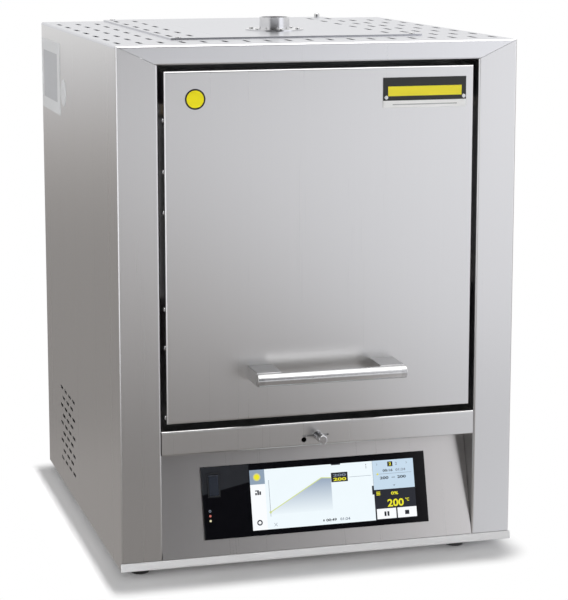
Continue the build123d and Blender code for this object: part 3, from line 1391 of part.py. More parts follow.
def fan_frame():
    """Square fan housing behind the side vent, with its motor on four struts."""
    outer = SHEET - HALF_WIDTH
    x = (outer + FIT, outer + FIT + FAN_DEPTH)
    half = FAN_SIZE / 2
    frame = block(x, (FAN_Y - half, FAN_Y + half), (FAN_Z - half, FAN_Z + half))
    frame = fillet(frame.edges().filter_by(Axis.X), FAN_STRUT)
    frame = frame - rod_x((x[0] - SHEET, x[1] + SHEET), FAN_Y, FAN_Z, FAN_BORE)
    motor_x = (x[1] - FAN_MOTOR_LENGTH, x[1])
    motor = rod_x(motor_x, FAN_Y, FAN_Z, FAN_HUB)
    strut_x = (x[1] - FAN_STRUT, x[1])
    reach = FAN_BORE + FAN_STRUT / 4
    bar = block(strut_x, (FAN_Y - reach, FAN_Y + reach), (FAN_Z - FAN_STRUT / 2, FAN_Z + FAN_STRUT / 2))
    pole = block(strut_x, (FAN_Y - FAN_STRUT / 2, FAN_Y + FAN_STRUT / 2), (FAN_Z - reach, FAN_Z + reach))
    shaft = rod_x((x[0] + FAN_AXIAL_CLEAR, motor_x[0]), FAN_Y, FAN_Z, FAN_SHAFT_RADIUS)
    return frame + motor + bar + pole + shaft


def fan_rotor():
    """Hub and blades that turn on the fan's shaft."""
    outer = SHEET - HALF_WIDTH + FIT
    back = outer + FAN_DEPTH - FAN_MOTOR_LENGTH - FAN_AXIAL_CLEAR
    front = outer + FAN_AXIAL_CLEAR
    hub = rod_x((front, back), FAN_Y, FAN_Z, FAN_HUB)
    rotor = hub
    tip = FAN_BORE - FAN_TIP_CLEAR
    root = FAN_HUB * FAN_BLADE_ROOT
    middle = (front + back) / 2
    for index in range(FAN_BLADES):
        blade = Box(FAN_BLADE_THICK, FAN_BLADE_CHORD, tip - root)
        blade = Pos(0, 0, (tip + root) / 2) * Rot(0, 0, 90 - FAN_BLADE_PITCH) * blade
        blade = Pos(middle, FAN_Y, FAN_Z) * Rot(360 / FAN_BLADES * index, 0, 0) * blade
        rotor = rotor + blade
    swept = rod_x((front, back), FAN_Y, FAN_Z, tip)
    rotor = rotor & swept
    return rotor - rod_x((front - SHEET, back + SHEET), FAN_Y, FAN_Z, FAN_SHAFT_RADIUS + FIT)


def rocker_axis():
    """Y and Z of the mains rocker's pivot."""
    return CASE_DEPTH + INLET_FLANGE_THICK, INLET_Z + ROCKER_RISE


def rocker_half_width():
    """Half width of the hole that the rocker moves in."""
    return ROCKER_WIDTH / 2 + ROCKER_CLEAR


def mains_inlet():
    """Power inlet with three prongs below and the rocker switch's well above."""
    x = INLET_X
    face = CASE_DEPTH + INLET_FLANGE_THICK
    flange_x = (x - INLET_FLANGE_WIDTH / 2, x + INLET_FLANGE_WIDTH / 2)
    flange_z = (INLET_Z - INLET_FLANGE_HEIGHT / 2, INLET_Z + INLET_FLANGE_HEIGHT / 2)
    flange = block(flange_x, (CASE_DEPTH, face), flange_z)
    flange = fillet(flange.edges().filter_by(Axis.Y), FOLD_RADIUS)
    body_z = (INLET_Z - INLET_BODY_HEIGHT / 2, INLET_Z + INLET_BODY_HEIGHT / 2)
    body_x = (x - INLET_BODY_WIDTH / 2, x + INLET_BODY_WIDTH / 2)
    body = block(body_x, (CASE_DEPTH - INLET_BODY_DEPTH, CASE_DEPTH), body_z)
    socket_z = INLET_Z - INLET_RECESS_DROP
    recess_x = (x - INLET_RECESS_WIDTH / 2, x + INLET_RECESS_WIDTH / 2)
    recess_z = (socket_z - INLET_RECESS_HEIGHT / 2, socket_z + INLET_RECESS_HEIGHT / 2)
    floor = face - INLET_RECESS_DEPTH
    recess = block(recess_x, (floor, face + SHEET), recess_z)
    inlet = flange + body - recess
    for offset, rise in ((-PRONG_SPREAD, -PRONG_OFFSET), (0, PRONG_OFFSET), (PRONG_SPREAD, -PRONG_OFFSET)):
        prong_x = (x + offset - PRONG_WIDTH / 2, x + offset + PRONG_WIDTH / 2)
        prong_z = (socket_z + rise - PRONG_HEIGHT / 2, socket_z + rise + PRONG_HEIGHT / 2)
        inlet = inlet + block(prong_x, (floor, floor + PRONG_LENGTH), prong_z)
    pivot_y, pivot_z = rocker_axis()
    well_x = (x - rocker_half_width(), x + rocker_half_width())
    swing = math.hypot(ROCKER_HALF_HEIGHT, ROCKER_PROUD) + ROCKER_CLEAR
    depth = ROCKER_BACK + ROCKER_HALF_HEIGHT * math.sin(math.radians(2 * ROCKER_TILT)) + ROCKER_CLEAR
    well = block(well_x, (pivot_y - depth, face + SHEET), (pivot_z - swing, pivot_z + swing))
    pin_x = rocker_half_width() + ROCKER_PIN_LENGTH
    pins = rod_x((x - pin_x, x + pin_x), pivot_y - ROCKER_BACK / 2, pivot_z, ROCKER_PIN_RADIUS + FIT)
    return inlet - well - pins


def mains_rocker():
    """Rocker button of the mains switch, at rest in its off position."""
    pivot_y, pivot_z = rocker_axis()
    axis_y = pivot_y - ROCKER_BACK / 2
    half = ROCKER_HALF_HEIGHT
    front = ROCKER_FRONT
    profile = Polygon(
        (-ROCKER_BACK / 2, -half * ROCKER_TAPER),
        (front, -half),
        (front - ROCKER_DIP, 0),
        (front, half),
        (-ROCKER_BACK / 2, half * ROCKER_TAPER),
        align=None,
    )
    button = extrude(Plane.YZ.offset(-ROCKER_WIDTH / 2) * profile, ROCKER_WIDTH)
    pin_x = rocker_half_width() + ROCKER_PIN_LENGTH - ROCKER_CLEAR
    button = button + rod_x((-pin_x, pin_x), 0, 0, ROCKER_PIN_RADIUS)
    return Pos(INLET_X, axis_y, pivot_z) * Rot(ROCKER_TILT, 0, 0) * button


NODES = [
    base_tray, feet, side_panel_left, side_panel_right, jamb_left, jamb_right, header,
    roof_shell, roof_plate, exhaust_stack, casing_screws, rear_panel, side_plates,
    air_strip, air_slider, air_knob, air_duct,
    control_panel, display_glass, display_module, controller_box, usb_port, usb_flap,
    door_tray, door_board, door_back, door_plug, door_gasket, door_brackets, door_pivot_pins,
    handle_bar, handle_caps, handle_posts, nameplate, door_screws,
    upper_arms, lower_arms, lift_shaft, shaft_bushes, casing_pivot_pins,
    inner_front_plate, chamber_shell, collar_brick, floor_brick, roof_brick, side_bricks, rear_brick,
    hearth_plate, heating_elements, element_holders, terminal_straps, thermocouple, exhaust_tube,
    transformer, heat_sink, power_relay, fan_frame, fan_rotor, mains_inlet, mains_rocker,
]


def main():
    os.makedirs("parts", exist_ok=True)
    for make in NODES:
        piece = Pos(0, -ORIGIN_Y, 0) * make()
        export_step(piece, f"parts/{make.__name__}.step")
    print(f"{len(NODES)} nodes, casing front at Y {-ORIGIN_Y:.3f}")


main()
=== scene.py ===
"""Looks of the bench-top high-temperature furnace: its finishes, printed and lit parts,
the studio round it and the camera. Metres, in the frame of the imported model."""
import math

import bmesh
import bpy
from mathutils import Matrix, Vector


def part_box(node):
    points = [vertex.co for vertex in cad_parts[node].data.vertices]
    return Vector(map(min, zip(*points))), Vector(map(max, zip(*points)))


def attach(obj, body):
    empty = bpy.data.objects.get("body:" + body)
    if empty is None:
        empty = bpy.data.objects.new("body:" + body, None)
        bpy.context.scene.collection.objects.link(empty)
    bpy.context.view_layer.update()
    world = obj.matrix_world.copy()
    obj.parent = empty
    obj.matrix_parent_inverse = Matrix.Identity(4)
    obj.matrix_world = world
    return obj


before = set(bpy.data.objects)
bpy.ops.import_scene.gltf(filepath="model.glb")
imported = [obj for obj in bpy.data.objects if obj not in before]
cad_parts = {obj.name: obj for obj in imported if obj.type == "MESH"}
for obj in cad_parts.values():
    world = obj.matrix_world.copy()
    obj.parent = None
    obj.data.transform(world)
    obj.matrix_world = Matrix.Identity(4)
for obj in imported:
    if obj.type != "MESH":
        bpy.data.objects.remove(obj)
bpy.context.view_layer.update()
MM = 0.001

# Front of the casing and the sloped control panel
FRONT_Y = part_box("control_panel")[0][1]
PANEL_FOOT_Z = 16.3 * MM
PANEL_LEAN = math.radians(15)
GLASS_FACE = 2.0 * MM
GLASS_SHINE = 0.22
INK = 0.02 * MM
INK_STEP = 1.5 * INK

# Display: height of the field's foot and top on the panel, and its columns, in millimetres
SCREEN_FOOT = 20.4
SCREEN_TOP = 77.3
SCREEN_LEFT = -65.4
FIELD_LEFT = -50.8
FIELD_RIGHT = 57.0
COLUMN_LEFT = 57.2
COLUMN_RIGHT = 98.8
BUTTONS_TOP = 31.1
BLACK_TOP = 49.4
CORNER_FOOT = 63.5
SUN = (-58.5, 70.4)
SCREEN_OFF = (0.004, 0.004, 0.004)
SCREEN_SHINE = 0.15

# Nameplate: heights down from its top and up from its foot, and margins at its ends
FIELD_DEPTH = 21.4 * MM
STRIPE_TOP = 8.2 * MM
STRIPE_FOOT = 17.2 * MM
STRIPE_END = 4.5 * MM
LINE_LOW = 2.4 * MM
LINE_HIGH = 3.4 * MM
LINE_END = 9 * MM

# Blank plate on the left side: its border, and how far its grey middle reaches from its rear edge
LABEL_BORDER = 12 * MM
LABEL_MIDDLE = 96 * MM


# Writing finishes


class Number:
    """One value in a finish. Sums with it add Math nodes."""

    def __init__(self, finish, socket):
        self.finish = finish
        self.socket = socket

    def __add__(self, other):
        return self.finish.maths("ADD", self, other)

    def __sub__(self, other):
        return self.finish.maths("SUBTRACT", self, other)

    def __rsub__(self, other):
        return self.finish.maths("SUBTRACT", other, self)

    def __mul__(self, other):
        return self.finish.maths("MULTIPLY", self, other)

    def __truediv__(self, other):
        return self.finish.maths("DIVIDE", self, other)

    def __gt__(self, other):
        return self.finish.maths("GREATER_THAN", self, other)

    def __lt__(self, other):
        return self.finish.maths("LESS_THAN", self, other)

    __radd__ = __add__
    __rmul__ = __mul__


class Finish:
    """A material with a Principled shader and whatever varies over it."""

    def __init__(self, name, sockets):
        self.material = bpy.data.materials.new(name)
        self.material.use_nodes = True
        self.tree = self.material.node_tree
        self.shader = self.tree.nodes["Principled BSDF"]
        for socket, value in sockets.items():
            self.vary(socket, value)

    def vary(self, socket, value):
        """Sets or feeds a socket of the shader."""
        self.feed(self.shader.inputs[socket], value)

    def feed(self, socket, value):
        """Links a Number to a socket, or writes a plain value on it."""
        if isinstance(value, Number):
            self.tree.links.new(value.socket, socket)
        elif socket.type == "RGBA":
            socket.default_value = (*value[:3], 1.0)
        else:
            socket.default_value = value

    def node(self, kind, settings, inputs, output=0):
        """Adds a node with its settings and inputs, and hands back one output."""
        node = self.tree.nodes.new("ShaderNode" + kind)
        for name, value in settings.items():
            if name == "stops":
                set_stops(node.color_ramp, value)
            else:
                setattr(node, name, value)
        for socket, value in inputs.items():
            self.feed(node.inputs[socket], value)
        return Number(self, node.outputs[output])

    def maths(self, operation, *values):
        """A Math node on numbers."""
        inputs = dict(enumerate(values))
        return self.node("Math", {"operation": operation}, inputs)

    def point(self):
        """Object coordinates as a vector."""
        return self.node("TexCoord", {}, {}, "Object")

    def axes(self):
        """Object coordinates as three numbers."""
        vector = self.point()
        split = self.node("SeparateXYZ", {}, {0: vector})
        return [Number(self, socket) for socket in split.socket.node.outputs]

    def noise(self, stretch, detail=3.0, lean=0.0):
        """Noise from -0.5 to 0.5, with so many grains per metre along X, Y and Z, which may
        lean back about X."""
        upright = self.node("Mapping", {}, {"Vector": self.point(), "Rotation": (lean, 0, 0)})
        grain = self.node("Mapping", {}, {"Vector": upright, "Scale": stretch})
        return self.node("TexNoise", {}, {"Vector": grain, "Scale": 1.0, "Detail": detail}) - 0.5

    def smooth(self, value, start, end, low=0.0, high=1.0):
        """Rises smoothly from low at start to high at end."""
        spans = {"Value": value, "From Min": start, "From Max": end, "To Min": low, "To Max": high}
        return self.node("MapRange", {"interpolation_type": "SMOOTHSTEP"}, spans)

    def ramp(self, value, stops):
        """A colour ramp on a number."""
        return self.node("ValToRGB", {"stops": stops}, {"Fac": value})

    def mix(self, factor, first, second):
        """One colour where the factor is 0, the other where it is 1."""
        sockets = {0: factor, 6: first, 7: second}
        return self.node("Mix", {"data_type": "RGBA"}, sockets, 2)

    def lighten(self, colour, amount):
        """A colour made lighter or darker by a number round 0."""
        grey = self.node("CombineXYZ", {}, {0: amount + 1.0, 1: amount + 1.0, 2: amount + 1.0})
        return self.node("VectorMath", {"operation": "MULTIPLY"}, {0: colour, 1: grey})

    def bump(self, height, distance, strength=1.0):
        """Raises the surface by a height, in metres for a height of 1."""
        sockets = {"Strength": strength, "Distance": distance, "Height": height}
        self.vary("Normal", self.node("Bump", {}, sockets))


def set_stops(ramp, stops):
    """Puts (position, colour) stops on a colour ramp."""
    while len(ramp.elements) < len(stops):
        ramp.elements.new(1.0)
    for element, (position, colour) in zip(ramp.elements, stops):
        element.position = position
        element.color = (*colour, 1.0)


# Finishes


def brushed_steel(name, grain, tone=(0.66, 0.655, 0.65), roughness=0.28, lean=0.0):
    """Stainless sheet brushed along one axis: "x", "y" or "z", or along a leaning face."""
    steel = Finish(name, {"Metallic": 1.0})
    fine = [3000.0, 3000.0, 3000.0]
    broad = [90.0, 90.0, 90.0]
    along = "xyz".index(grain)
    fine[along] = 5.0
    broad[along] = 0.4
    scratches = steel.noise(fine, detail=2.0, lean=lean)
    bands = steel.noise(broad, detail=4.0, lean=lean)
    steel.vary("Base Color", steel.lighten(tone, scratches * 0.03 + bands * 0.02))
    steel.vary("Roughness", scratches * 0.02 + bands * 0.02 + roughness)
    return steel.material


def tray_painted_sheen():
    """Pale satin colour on the steel tray and its front lip: a painted sheen that stands in for the bright
    floor the lip mirrors.
    """
    tray = Finish("tray_painted_sheen", {})
    grain = tray.noise((9.0, 900.0, 900.0), detail=2.0)
    # Painted sheen: near-white diffuse colour in place of the steel's reflection
    tray.vary("Base Color", tray.lighten((0.97, 0.97, 0.975), grain * 0.08))
    tray.vary("Roughness", grain * 0.12 + 0.4)
    return tray.material


def rolled_steel(name, tone=(0.5, 0.5, 0.5), roughness=0.42):
    """Plain mill-finished sheet with a faint cloudy surface."""
    steel = Finish(name, {"Metallic": 1.0})
    clouds = steel.noise((60.0, 60.0, 60.0), detail=5.0)
    steel.vary("Base Color", steel.lighten(tone, clouds * 0.16))
    steel.vary("Roughness", clouds * 0.2 + roughness)
    return steel.material


def turned_metal(name, tone, roughness=0.22, scale=500.0):
    """Bright turned or ground metal with fine marks."""
    metal = Finish(name, {"Metallic": 1.0})
    marks = metal.noise((scale, scale, scale), detail=2.0)
    metal.vary("Base Color", metal.lighten(tone, marks * 0.08))
    metal.vary("Roughness", marks * 0.12 + roughness)
    metal.bump(marks, 0.00001)
    return metal.material


def ceramic(name, tone, grain=400.0, roughness=0.85, depth=0.0004):
    """Fibre board or fired ceramic with a mottled, slightly rough face."""
    stone = Finish(name, {})
    coarse = stone.noise((grain / 8, grain / 8, grain / 8), detail=4.0)
    fine = stone.noise((grain, grain, grain), detail=3.0)
    stone.vary("Base Color", stone.lighten(tone, coarse * 0.18 + fine * 0.10))
    stone.vary("Roughness", fine * 0.1 + roughness)
    stone.bump(fine + coarse, depth)
    return stone.material


def moulded(name, tone, roughness=0.45, grain=1500.0, depth=0.00002, coat=0.0):
    """Moulded plastic or rubber with a fine texture."""
    plastic = Finish(name, {"Coat Weight": coat})
    pores = plastic.noise((grain, grain, grain), detail=2.0)
    smudges = plastic.noise((50.0, 50.0, 50.0), detail=3.0)
    plastic.vary("Base Color", plastic.lighten(tone, pores * 0.15 + smudges * 0.12))
    plastic.vary("Roughness", smudges * 0.12 + roughness)
    plastic.bump(pores, depth)
    return plastic.material


def black_glass():
    """Glossy black touch glass, with a painted reflection that makes its colour lighter towards its upper
    left.
    """
    glass = Finish("black_glass", {"Specular IOR Level": GLASS_SHINE})
    smudges = glass.noise((25.0, 25.0, 25.0), detail=3.0)
    x, y, z = glass.axes()
    # Painted reflection: a lighter colour above a slanting line at the upper left of the glass
    corner = glass.smooth(z - x * 0.19, 93 * MM, 94 * MM) * within(x, -0.2, -66 * MM)
    colour = glass.mix(corner, (0.006, 0.006, 0.008), (0.035, 0.037, 0.043))
    glass.vary("Base Color", glass.lighten(colour, smudges * 0.4))
    glass.vary("Roughness", smudges * 0.05 + 0.07)
    return glass.material


def lit(name, colour):
    """A lit colour of the display."""
    light = Finish(name, {"Base Color": SCREEN_OFF, "Specular IOR Level": SCREEN_SHINE})
    light.vary("Emission Color", light.lighten(colour, light.noise((60.0, 60.0, 60.0)) * 0.03))
    light.vary("Emission Strength", 1.0)
    light.vary("Roughness", light.noise((400.0, 400.0, 400.0)) * 0.1 + 0.2)
    return light.material


def lit_fade(name, top, bottom, low, high):
    """A lit colour that fades down the display, between two heights on the panel."""
    light = Finish(name, {"Base Color": SCREEN_OFF, "Specular IOR Level": SCREEN_SHINE, "Roughness": 0.2})
    x, y, z = light.axes()
    start = PANEL_FOOT_Z + low * MM * math.cos(PANEL_LEAN)
    end = PANEL_FOOT_Z + high * MM * math.cos(PANEL_LEAN)
    level = light.maths("MAXIMUM", (z - start) / (end - start), 0.0)
    level = light.maths("MINIMUM", level, 1.0)
    light.vary("Emission Color", light.mix(level, bottom, top))
    light.vary("Emission Strength", 1.0)
    return light.material


def printed(name, tone, roughness=0.5):
    """Printed ink or a plain sticker."""
    ink = Finish(name, {"Specular IOR Level": 0.25})
    speckle = ink.noise((900.0, 900.0, 900.0), detail=2.0)
    ink.vary("Base Color", ink.lighten(tone, speckle * 0.06))
    ink.vary("Roughness", speckle * 0.1 + roughness)
    return ink.material


def within(value, low, high):
    """1 where a number lies between two values, else 0."""
    return (value > low) * (value < high)


def nameplate_print():
    """Plate with a black field, one plain yellow stripe and a thin grey line under it."""
    low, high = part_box("nameplate")
    plate = Finish("nameplate_print", {"Roughness": 0.38})
    x, y, z = plate.axes()
    field = z > high[2] - FIELD_DEPTH
    stripe = within(z, high[2] - STRIPE_FOOT, high[2] - STRIPE_TOP)
    stripe = stripe * within(x, low[0] + STRIPE_END, high[0] - STRIPE_END)
    line = within(z, low[2] + LINE_LOW, low[2] + LINE_HIGH)
    line = line * within(x, low[0] + LINE_END, high[0] - LINE_END)
    colour = plate.mix(line, (0.92, 0.92, 0.91), (0.45, 0.45, 0.45))
    colour = plate.mix(field, colour, (0.012, 0.012, 0.011))
    colour = plate.mix(stripe, colour, (0.95, 0.82, 0.01))
    speckle = plate.noise((700.0, 700.0, 700.0))
    plate.vary("Base Color", plate.lighten(colour, speckle * 0.05))
    return plate.material


def blank_label():
    """White blank plate with a greyer middle."""
    low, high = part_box("side_plates")
    label = Finish("blank_label", {"Roughness": 0.45})
    x, y, z = label.axes()
    middle = within(y, high[1] - LABEL_MIDDLE, high[1] - LABEL_BORDER)
    middle = middle * within(z, low[2] + LABEL_BORDER, high[2] - LABEL_BORDER)
    speckle = label.noise((300.0, 300.0, 300.0))
    colour = label.mix(middle, (0.80, 0.81, 0.82), (0.56, 0.57, 0.59))
    label.vary("Base Color", label.lighten(colour, speckle * 0.06))
    return label.material


def transformer_finish():
    """Iron core with a copper winding in its middle."""
    low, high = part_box("transformer")
    finish = Finish("transformer_finish", {})
    x, y, z = finish.axes()
    tenth = (high[2] - low[2]) / 10
    winding = within(z, low[2] + 3 * tenth, high[2] - 3 * tenth)
    grain = finish.noise((80.0, 80.0, 900.0))
    colour = finish.mix(winding, (0.05, 0.05, 0.055), (0.45, 0.2, 0.1))
    finish.vary("Base Color", finish.lighten(colour, grain * 0.3))
    finish.vary("Roughness", grain * 0.2 + 0.5)
    return finish.material


def dress(material, *nodes):
    """Gives CAD nodes their finish."""
    for name in nodes:
        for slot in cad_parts[name].material_slots:
            slot.material = material


dress(brushed_steel("door_steel", "z"), "door_tray")
dress(brushed_steel("frame_steel", "z"), "jamb_left", "jamb_right")
# Painted light: the header's steel is a lighter copy of the brushed steel of the jambs and door
dress(brushed_steel("header_steel_painted_light", "z", (0.70, 0.70, 0.705)), "header")
dress(brushed_steel("side_steel", "z"), "side_panel_left", "side_panel_right")
dress(brushed_steel("strip_steel", "z"), "air_strip")
# Painted reflection: the control panel's steel is a darker, warmer copy, standing in for the warm floor it
# mirrors
dress(brushed_steel("panel_steel_painted_reflection", "z", (0.62, 0.60, 0.585), lean=PANEL_LEAN), "control_panel")
# Painted shade: the roof's steel is a darker, bluer copy of the brushed steel
dress(brushed_steel("roof_steel_painted_shade", "y", (0.565, 0.57, 0.598)), "roof_shell", "roof_plate")
# The base tray gets the painted sheen
dress(tray_painted_sheen(), "base_tray")
dress(brushed_steel("bar_steel", "x", (0.68, 0.68, 0.68), 0.26), "handle_bar")
dress(turned_metal("cap_steel", (0.6, 0.6, 0.6), 0.25), "handle_caps")
dress(turned_metal("post_steel", (0.66, 0.66, 0.66), 0.34), "handle_posts")
dress(rolled_steel("zinc_sheet"), "rear_panel", "air_duct", "air_slider", "door_back", "door_brackets")
dress(rolled_steel("arm_steel", (0.42, 0.42, 0.43), 0.38), "upper_arms", "lower_arms")
dress(rolled_steel("inner_sheet", (0.3, 0.3, 0.3), 0.5), "inner_front_plate", "chamber_shell")
dress(
    turned_metal("bright_steel", (0.66, 0.66, 0.66), 0.18),
    "door_pivot_pins",
    "casing_pivot_pins",
    "lift_shaft",
)
dress(turned_metal("screw_steel", (0.6, 0.6, 0.6), 0.25), "casing_screws", "door_screws")
dress(turned_metal("stack_steel", (0.68, 0.68, 0.69), 0.2), "exhaust_stack", "air_knob")
dress(turned_metal("bush_brass", (0.72, 0.5, 0.2), 0.25), "shaft_bushes")
dress(turned_metal("strap_aluminium", (0.75, 0.75, 0.76), 0.35), "terminal_straps", "heat_sink")
dress(ceramic("fibre_board", (0.78, 0.76, 0.72)), "door_board", "door_plug", "collar_brick", "floor_brick")
dress(ceramic("chamber_fibre", (0.80, 0.78, 0.75)), "roof_brick", "side_bricks", "rear_brick")
dress(ceramic("fibre_gasket", (0.82, 0.81, 0.78), 800.0, 0.95), "door_gasket")
dress(
    ceramic("dense_ceramic", (0.70, 0.66, 0.58), 1200.0, 0.6, 0.0001),
    "hearth_plate",
    "element_holders",
    "exhaust_tube",
)
dress(ceramic("element_skin", (0.09, 0.09, 0.095), 900.0, 0.5, 0.00005), "heating_elements")
dress(ceramic("sheath_ceramic", (0.72, 0.68, 0.6), 1200.0, 0.55, 0.00005), "thermocouple")
dress(moulded("foot_rubber", (0.012, 0.012, 0.012), 0.6), "feet")
dress(
    moulded("black_plastic", (0.018, 0.018, 0.02), 0.42),
    "controller_box",
    "power_relay",
    "fan_frame",
    "mains_inlet",
)
dress(moulded("fan_plastic", (0.025, 0.025, 0.027), 0.4), "fan_rotor")
dress(moulded("rocker_plastic", (0.02, 0.02, 0.02), 0.3), "mains_rocker")
dress(moulded("port_plastic", (0.01, 0.011, 0.014), 0.35), "usb_port")
dress(moulded("flap_rubber", (0.022, 0.028, 0.042), 0.25, coat=0.3), "usb_flap")
dress(moulded("screen_back", (0.01, 0.01, 0.012), 0.3), "display_module")
dress(black_glass(), "display_glass")
dress(nameplate_print(), "nameplate")
dress(blank_label(), "side_plates")
dress(transformer_finish(), "transformer")


# Making thin pieces


def flat_piece(name, shapes, place, thickness, finish, body):
    """One thin piece from flat shapes drawn in millimetres, put in place and finished."""
    mesh = bmesh.new()
    for shape in shapes:
        shape(mesh)
    bmesh.ops.recalc_face_normals(mesh, faces=mesh.faces)
    for face in mesh.faces:
        if face.normal.z < 0:
            face.normal_flip()
    grown = bmesh.ops.extrude_face_region(mesh, geom=list(mesh.faces), use_keep_orig=True)
    raised = [item for item in grown["geom"] if isinstance(item, bmesh.types.BMVert)]
    bmesh.ops.translate(mesh, verts=raised, vec=(0, 0, thickness / MM))
    bmesh.ops.recalc_face_normals(mesh, faces=mesh.faces)
    bmesh.ops.transform(mesh, matrix=place @ Matrix.Scale(MM, 4), verts=mesh.verts)
    data = bpy.data.meshes.new(name)
    mesh.to_mesh(data)
    mesh.free()
    data.materials.append(finish)
    piece = bpy.data.objects.new(name, data)
    bpy.context.collection.objects.link(piece)
    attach(piece, body)
    return piece


def bar(left, right, low, high):
    """A rectangle."""
    corners = ((left, low), (right, low), (right, high), (left, high))
    return outline(*corners)


def outline(*points):
    """A flat shape with these corners."""

    def draw(mesh):
        mesh.faces.new([mesh.verts.new((x, y, 0)) for x, y in points])

    return draw


def disc(x, y, radius):
    """A round dot."""

    def draw(mesh):
        centre = Matrix.Translation((x, y, 0))
        bmesh.ops.create_circle(mesh, cap_ends=True, segments=40, radius=radius, matrix=centre)

    return draw


def ring(x, y, outer, inner):
    """A round ring."""

    def draw(mesh):
        centre = Matrix.Translation((x, y, 0))
        circle = bmesh.ops.create_circle(mesh, segments=40, radius=outer, matrix=centre)["verts"]
        edges = list({edge for vert in circle for edge in vert.link_edges})
        grown = bmesh.ops.extrude_edge_only(mesh, edges=edges)["geom"]
        inside = [item for item in grown if isinstance(item, bmesh.types.BMVert)]
        ratio = inner / outer
        bmesh.ops.scale(mesh, vec=(ratio, ratio, 1), space=centre.inverted(), verts=inside)

    return draw


def stroke(width, *points):
    """A line of one width through some points, each run a bar of its own."""

    def draw(mesh):
        for (x0, y0), (x1, y1) in zip(points, points[1:]):
            length = math.hypot(x1 - x0, y1 - y0)
            side = Vector((y0 - y1, x1 - x0)) * (width / 2 / length)
            corners = [(x0 - side.x, y0 - side.y), (x1 - side.x, y1 - side.y)]
            corners += [(x1 + side.x, y1 + side.y), (x0 + side.x, y0 + side.y)]
            mesh.faces.new([mesh.verts.new((x, y, 0)) for x, y in corners])

    return draw


def figures(text, left, right, low, high):
    """Figures that fill a box."""

    def draw(mesh):
        curve = bpy.data.curves.new("figures", "FONT")
        curve.body = text
        curve.resolution_u = 3
        curve.offset = 0.028
        words = bpy.data.objects.new("figures", curve)
        flat = bpy.data.meshes.new_from_object(words)
        xs = [vert.co.x for vert in flat.vertices]
        ys = [vert.co.y for vert in flat.vertices]
        wide = (right - left) / (max(xs) - min(xs))
        tall = (high - low) / (max(ys) - min(ys))
        centre = Matrix.Translation((-min(xs), -min(ys), 0))
        flat.transform(Matrix.Translation((left, low, 0)) @ Matrix.Diagonal((wide, tall, 1, 1)) @ centre)
        mesh.from_mesh(flat)
        bpy.data.objects.remove(words)
        bpy.data.meshes.remove(flat)

    return draw


# Display: lit fields, curve and figures, drawn on the panel in millimetres from its foot

UP_SLOPE = Vector((0, math.sin(PANEL_LEAN), math.cos(PANEL_LEAN)))
OUT_OF_PANEL = Vector((0, -math.cos(PANEL_LEAN), math.sin(PANEL_LEAN)))
PANEL_FOOT = Vector((0, FRONT_Y, PANEL_FOOT_Z))


def on_glass(layer):
    """The place of a drawing on the display glass, some layers of ink above its face."""
    foot = PANEL_FOOT + OUT_OF_PANEL * (GLASS_FACE + layer * INK_STEP)
    turn = Matrix((Vector((1, 0, 0)), UP_SLOPE, OUT_OF_PANEL)).transposed().to_4x4()
    return Matrix.Translation(foot) @ turn


def glow(name, layer, finish, *shapes):
    """One lit colour of the display."""
    return flat_piece(name, shapes, on_glass(layer), INK, finish, "furnace")


LIT_WHITE = lit("lit_white", (0.96, 0.98, 1.0))
LIT_PALE = lit("lit_pale", (0.87, 0.95, 0.99))
LIT_BLUE = lit("lit_blue", (0.57, 0.71, 0.84))
LIT_SLATE = lit("lit_slate", (0.28, 0.36, 0.46))
LIT_YELLOW = lit("lit_yellow", (0.86, 0.80, 0.03))
LIT_GLOW = lit("lit_glow", (0.62, 0.62, 0.30))
LIT_DARK = lit("lit_dark", (0.02, 0.022, 0.03))
LIT_GREY = lit("lit_grey", (0.22, 0.26, 0.32))
LIT_LINE = lit("lit_line", (0.66, 0.74, 0.30))
LIT_RED = lit("lit_red", (0.55, 0.16, 0.13))
FADE = lit_fade("lit_fade", (0.30, 0.38, 0.50), (0.87, 0.95, 0.99), 33, 66)

glow("screen_field", 1, LIT_PALE, bar(FIELD_LEFT, FIELD_RIGHT, SCREEN_FOOT, SCREEN_TOP))
glow("screen_side_column", 1, LIT_WHITE, bar(SCREEN_LEFT, FIELD_LEFT, SCREEN_FOOT, CORNER_FOOT))
glow("screen_corner", 1, LIT_SLATE, bar(SCREEN_LEFT, FIELD_LEFT, CORNER_FOOT, SCREEN_TOP))
glow("screen_right_column", 1, LIT_BLUE, bar(COLUMN_LEFT, 98.7, BLACK_TOP, SCREEN_TOP))
glow(
    "screen_black_field",
    1,
    LIT_DARK,
    bar(COLUMN_LEFT, COLUMN_RIGHT, BUTTONS_TOP, BLACK_TOP),
    bar(COLUMN_LEFT, COLUMN_RIGHT, SCREEN_FOOT, BUTTONS_TOP),
)
glow("screen_buttons", 2, LIT_WHITE, bar(58.5, 78.0, 21.2, 30.9), bar(79.4, COLUMN_RIGHT, 21.2, 30.9))
glow("screen_corner_glow", 2, LIT_GLOW, disc(*SUN, 3.7))
glow("screen_sun", 3, LIT_YELLOW, disc(*SUN, 2.6))
glow(
    "screen_fade",
    2,
    FADE,
    outline((-47.1, 34.0), (14.7, 34.0), (14.7, 64.2), (5.1, 64.9), (-47.1, 36.2)),
)
glow(
    "screen_curve",
    3,
    LIT_LINE,
    stroke(0.9, (-47.1, 36.4), (5.1, 65.1), (14.7, 64.4)),
    disc(-47.1, 36.4, 1.2),
)
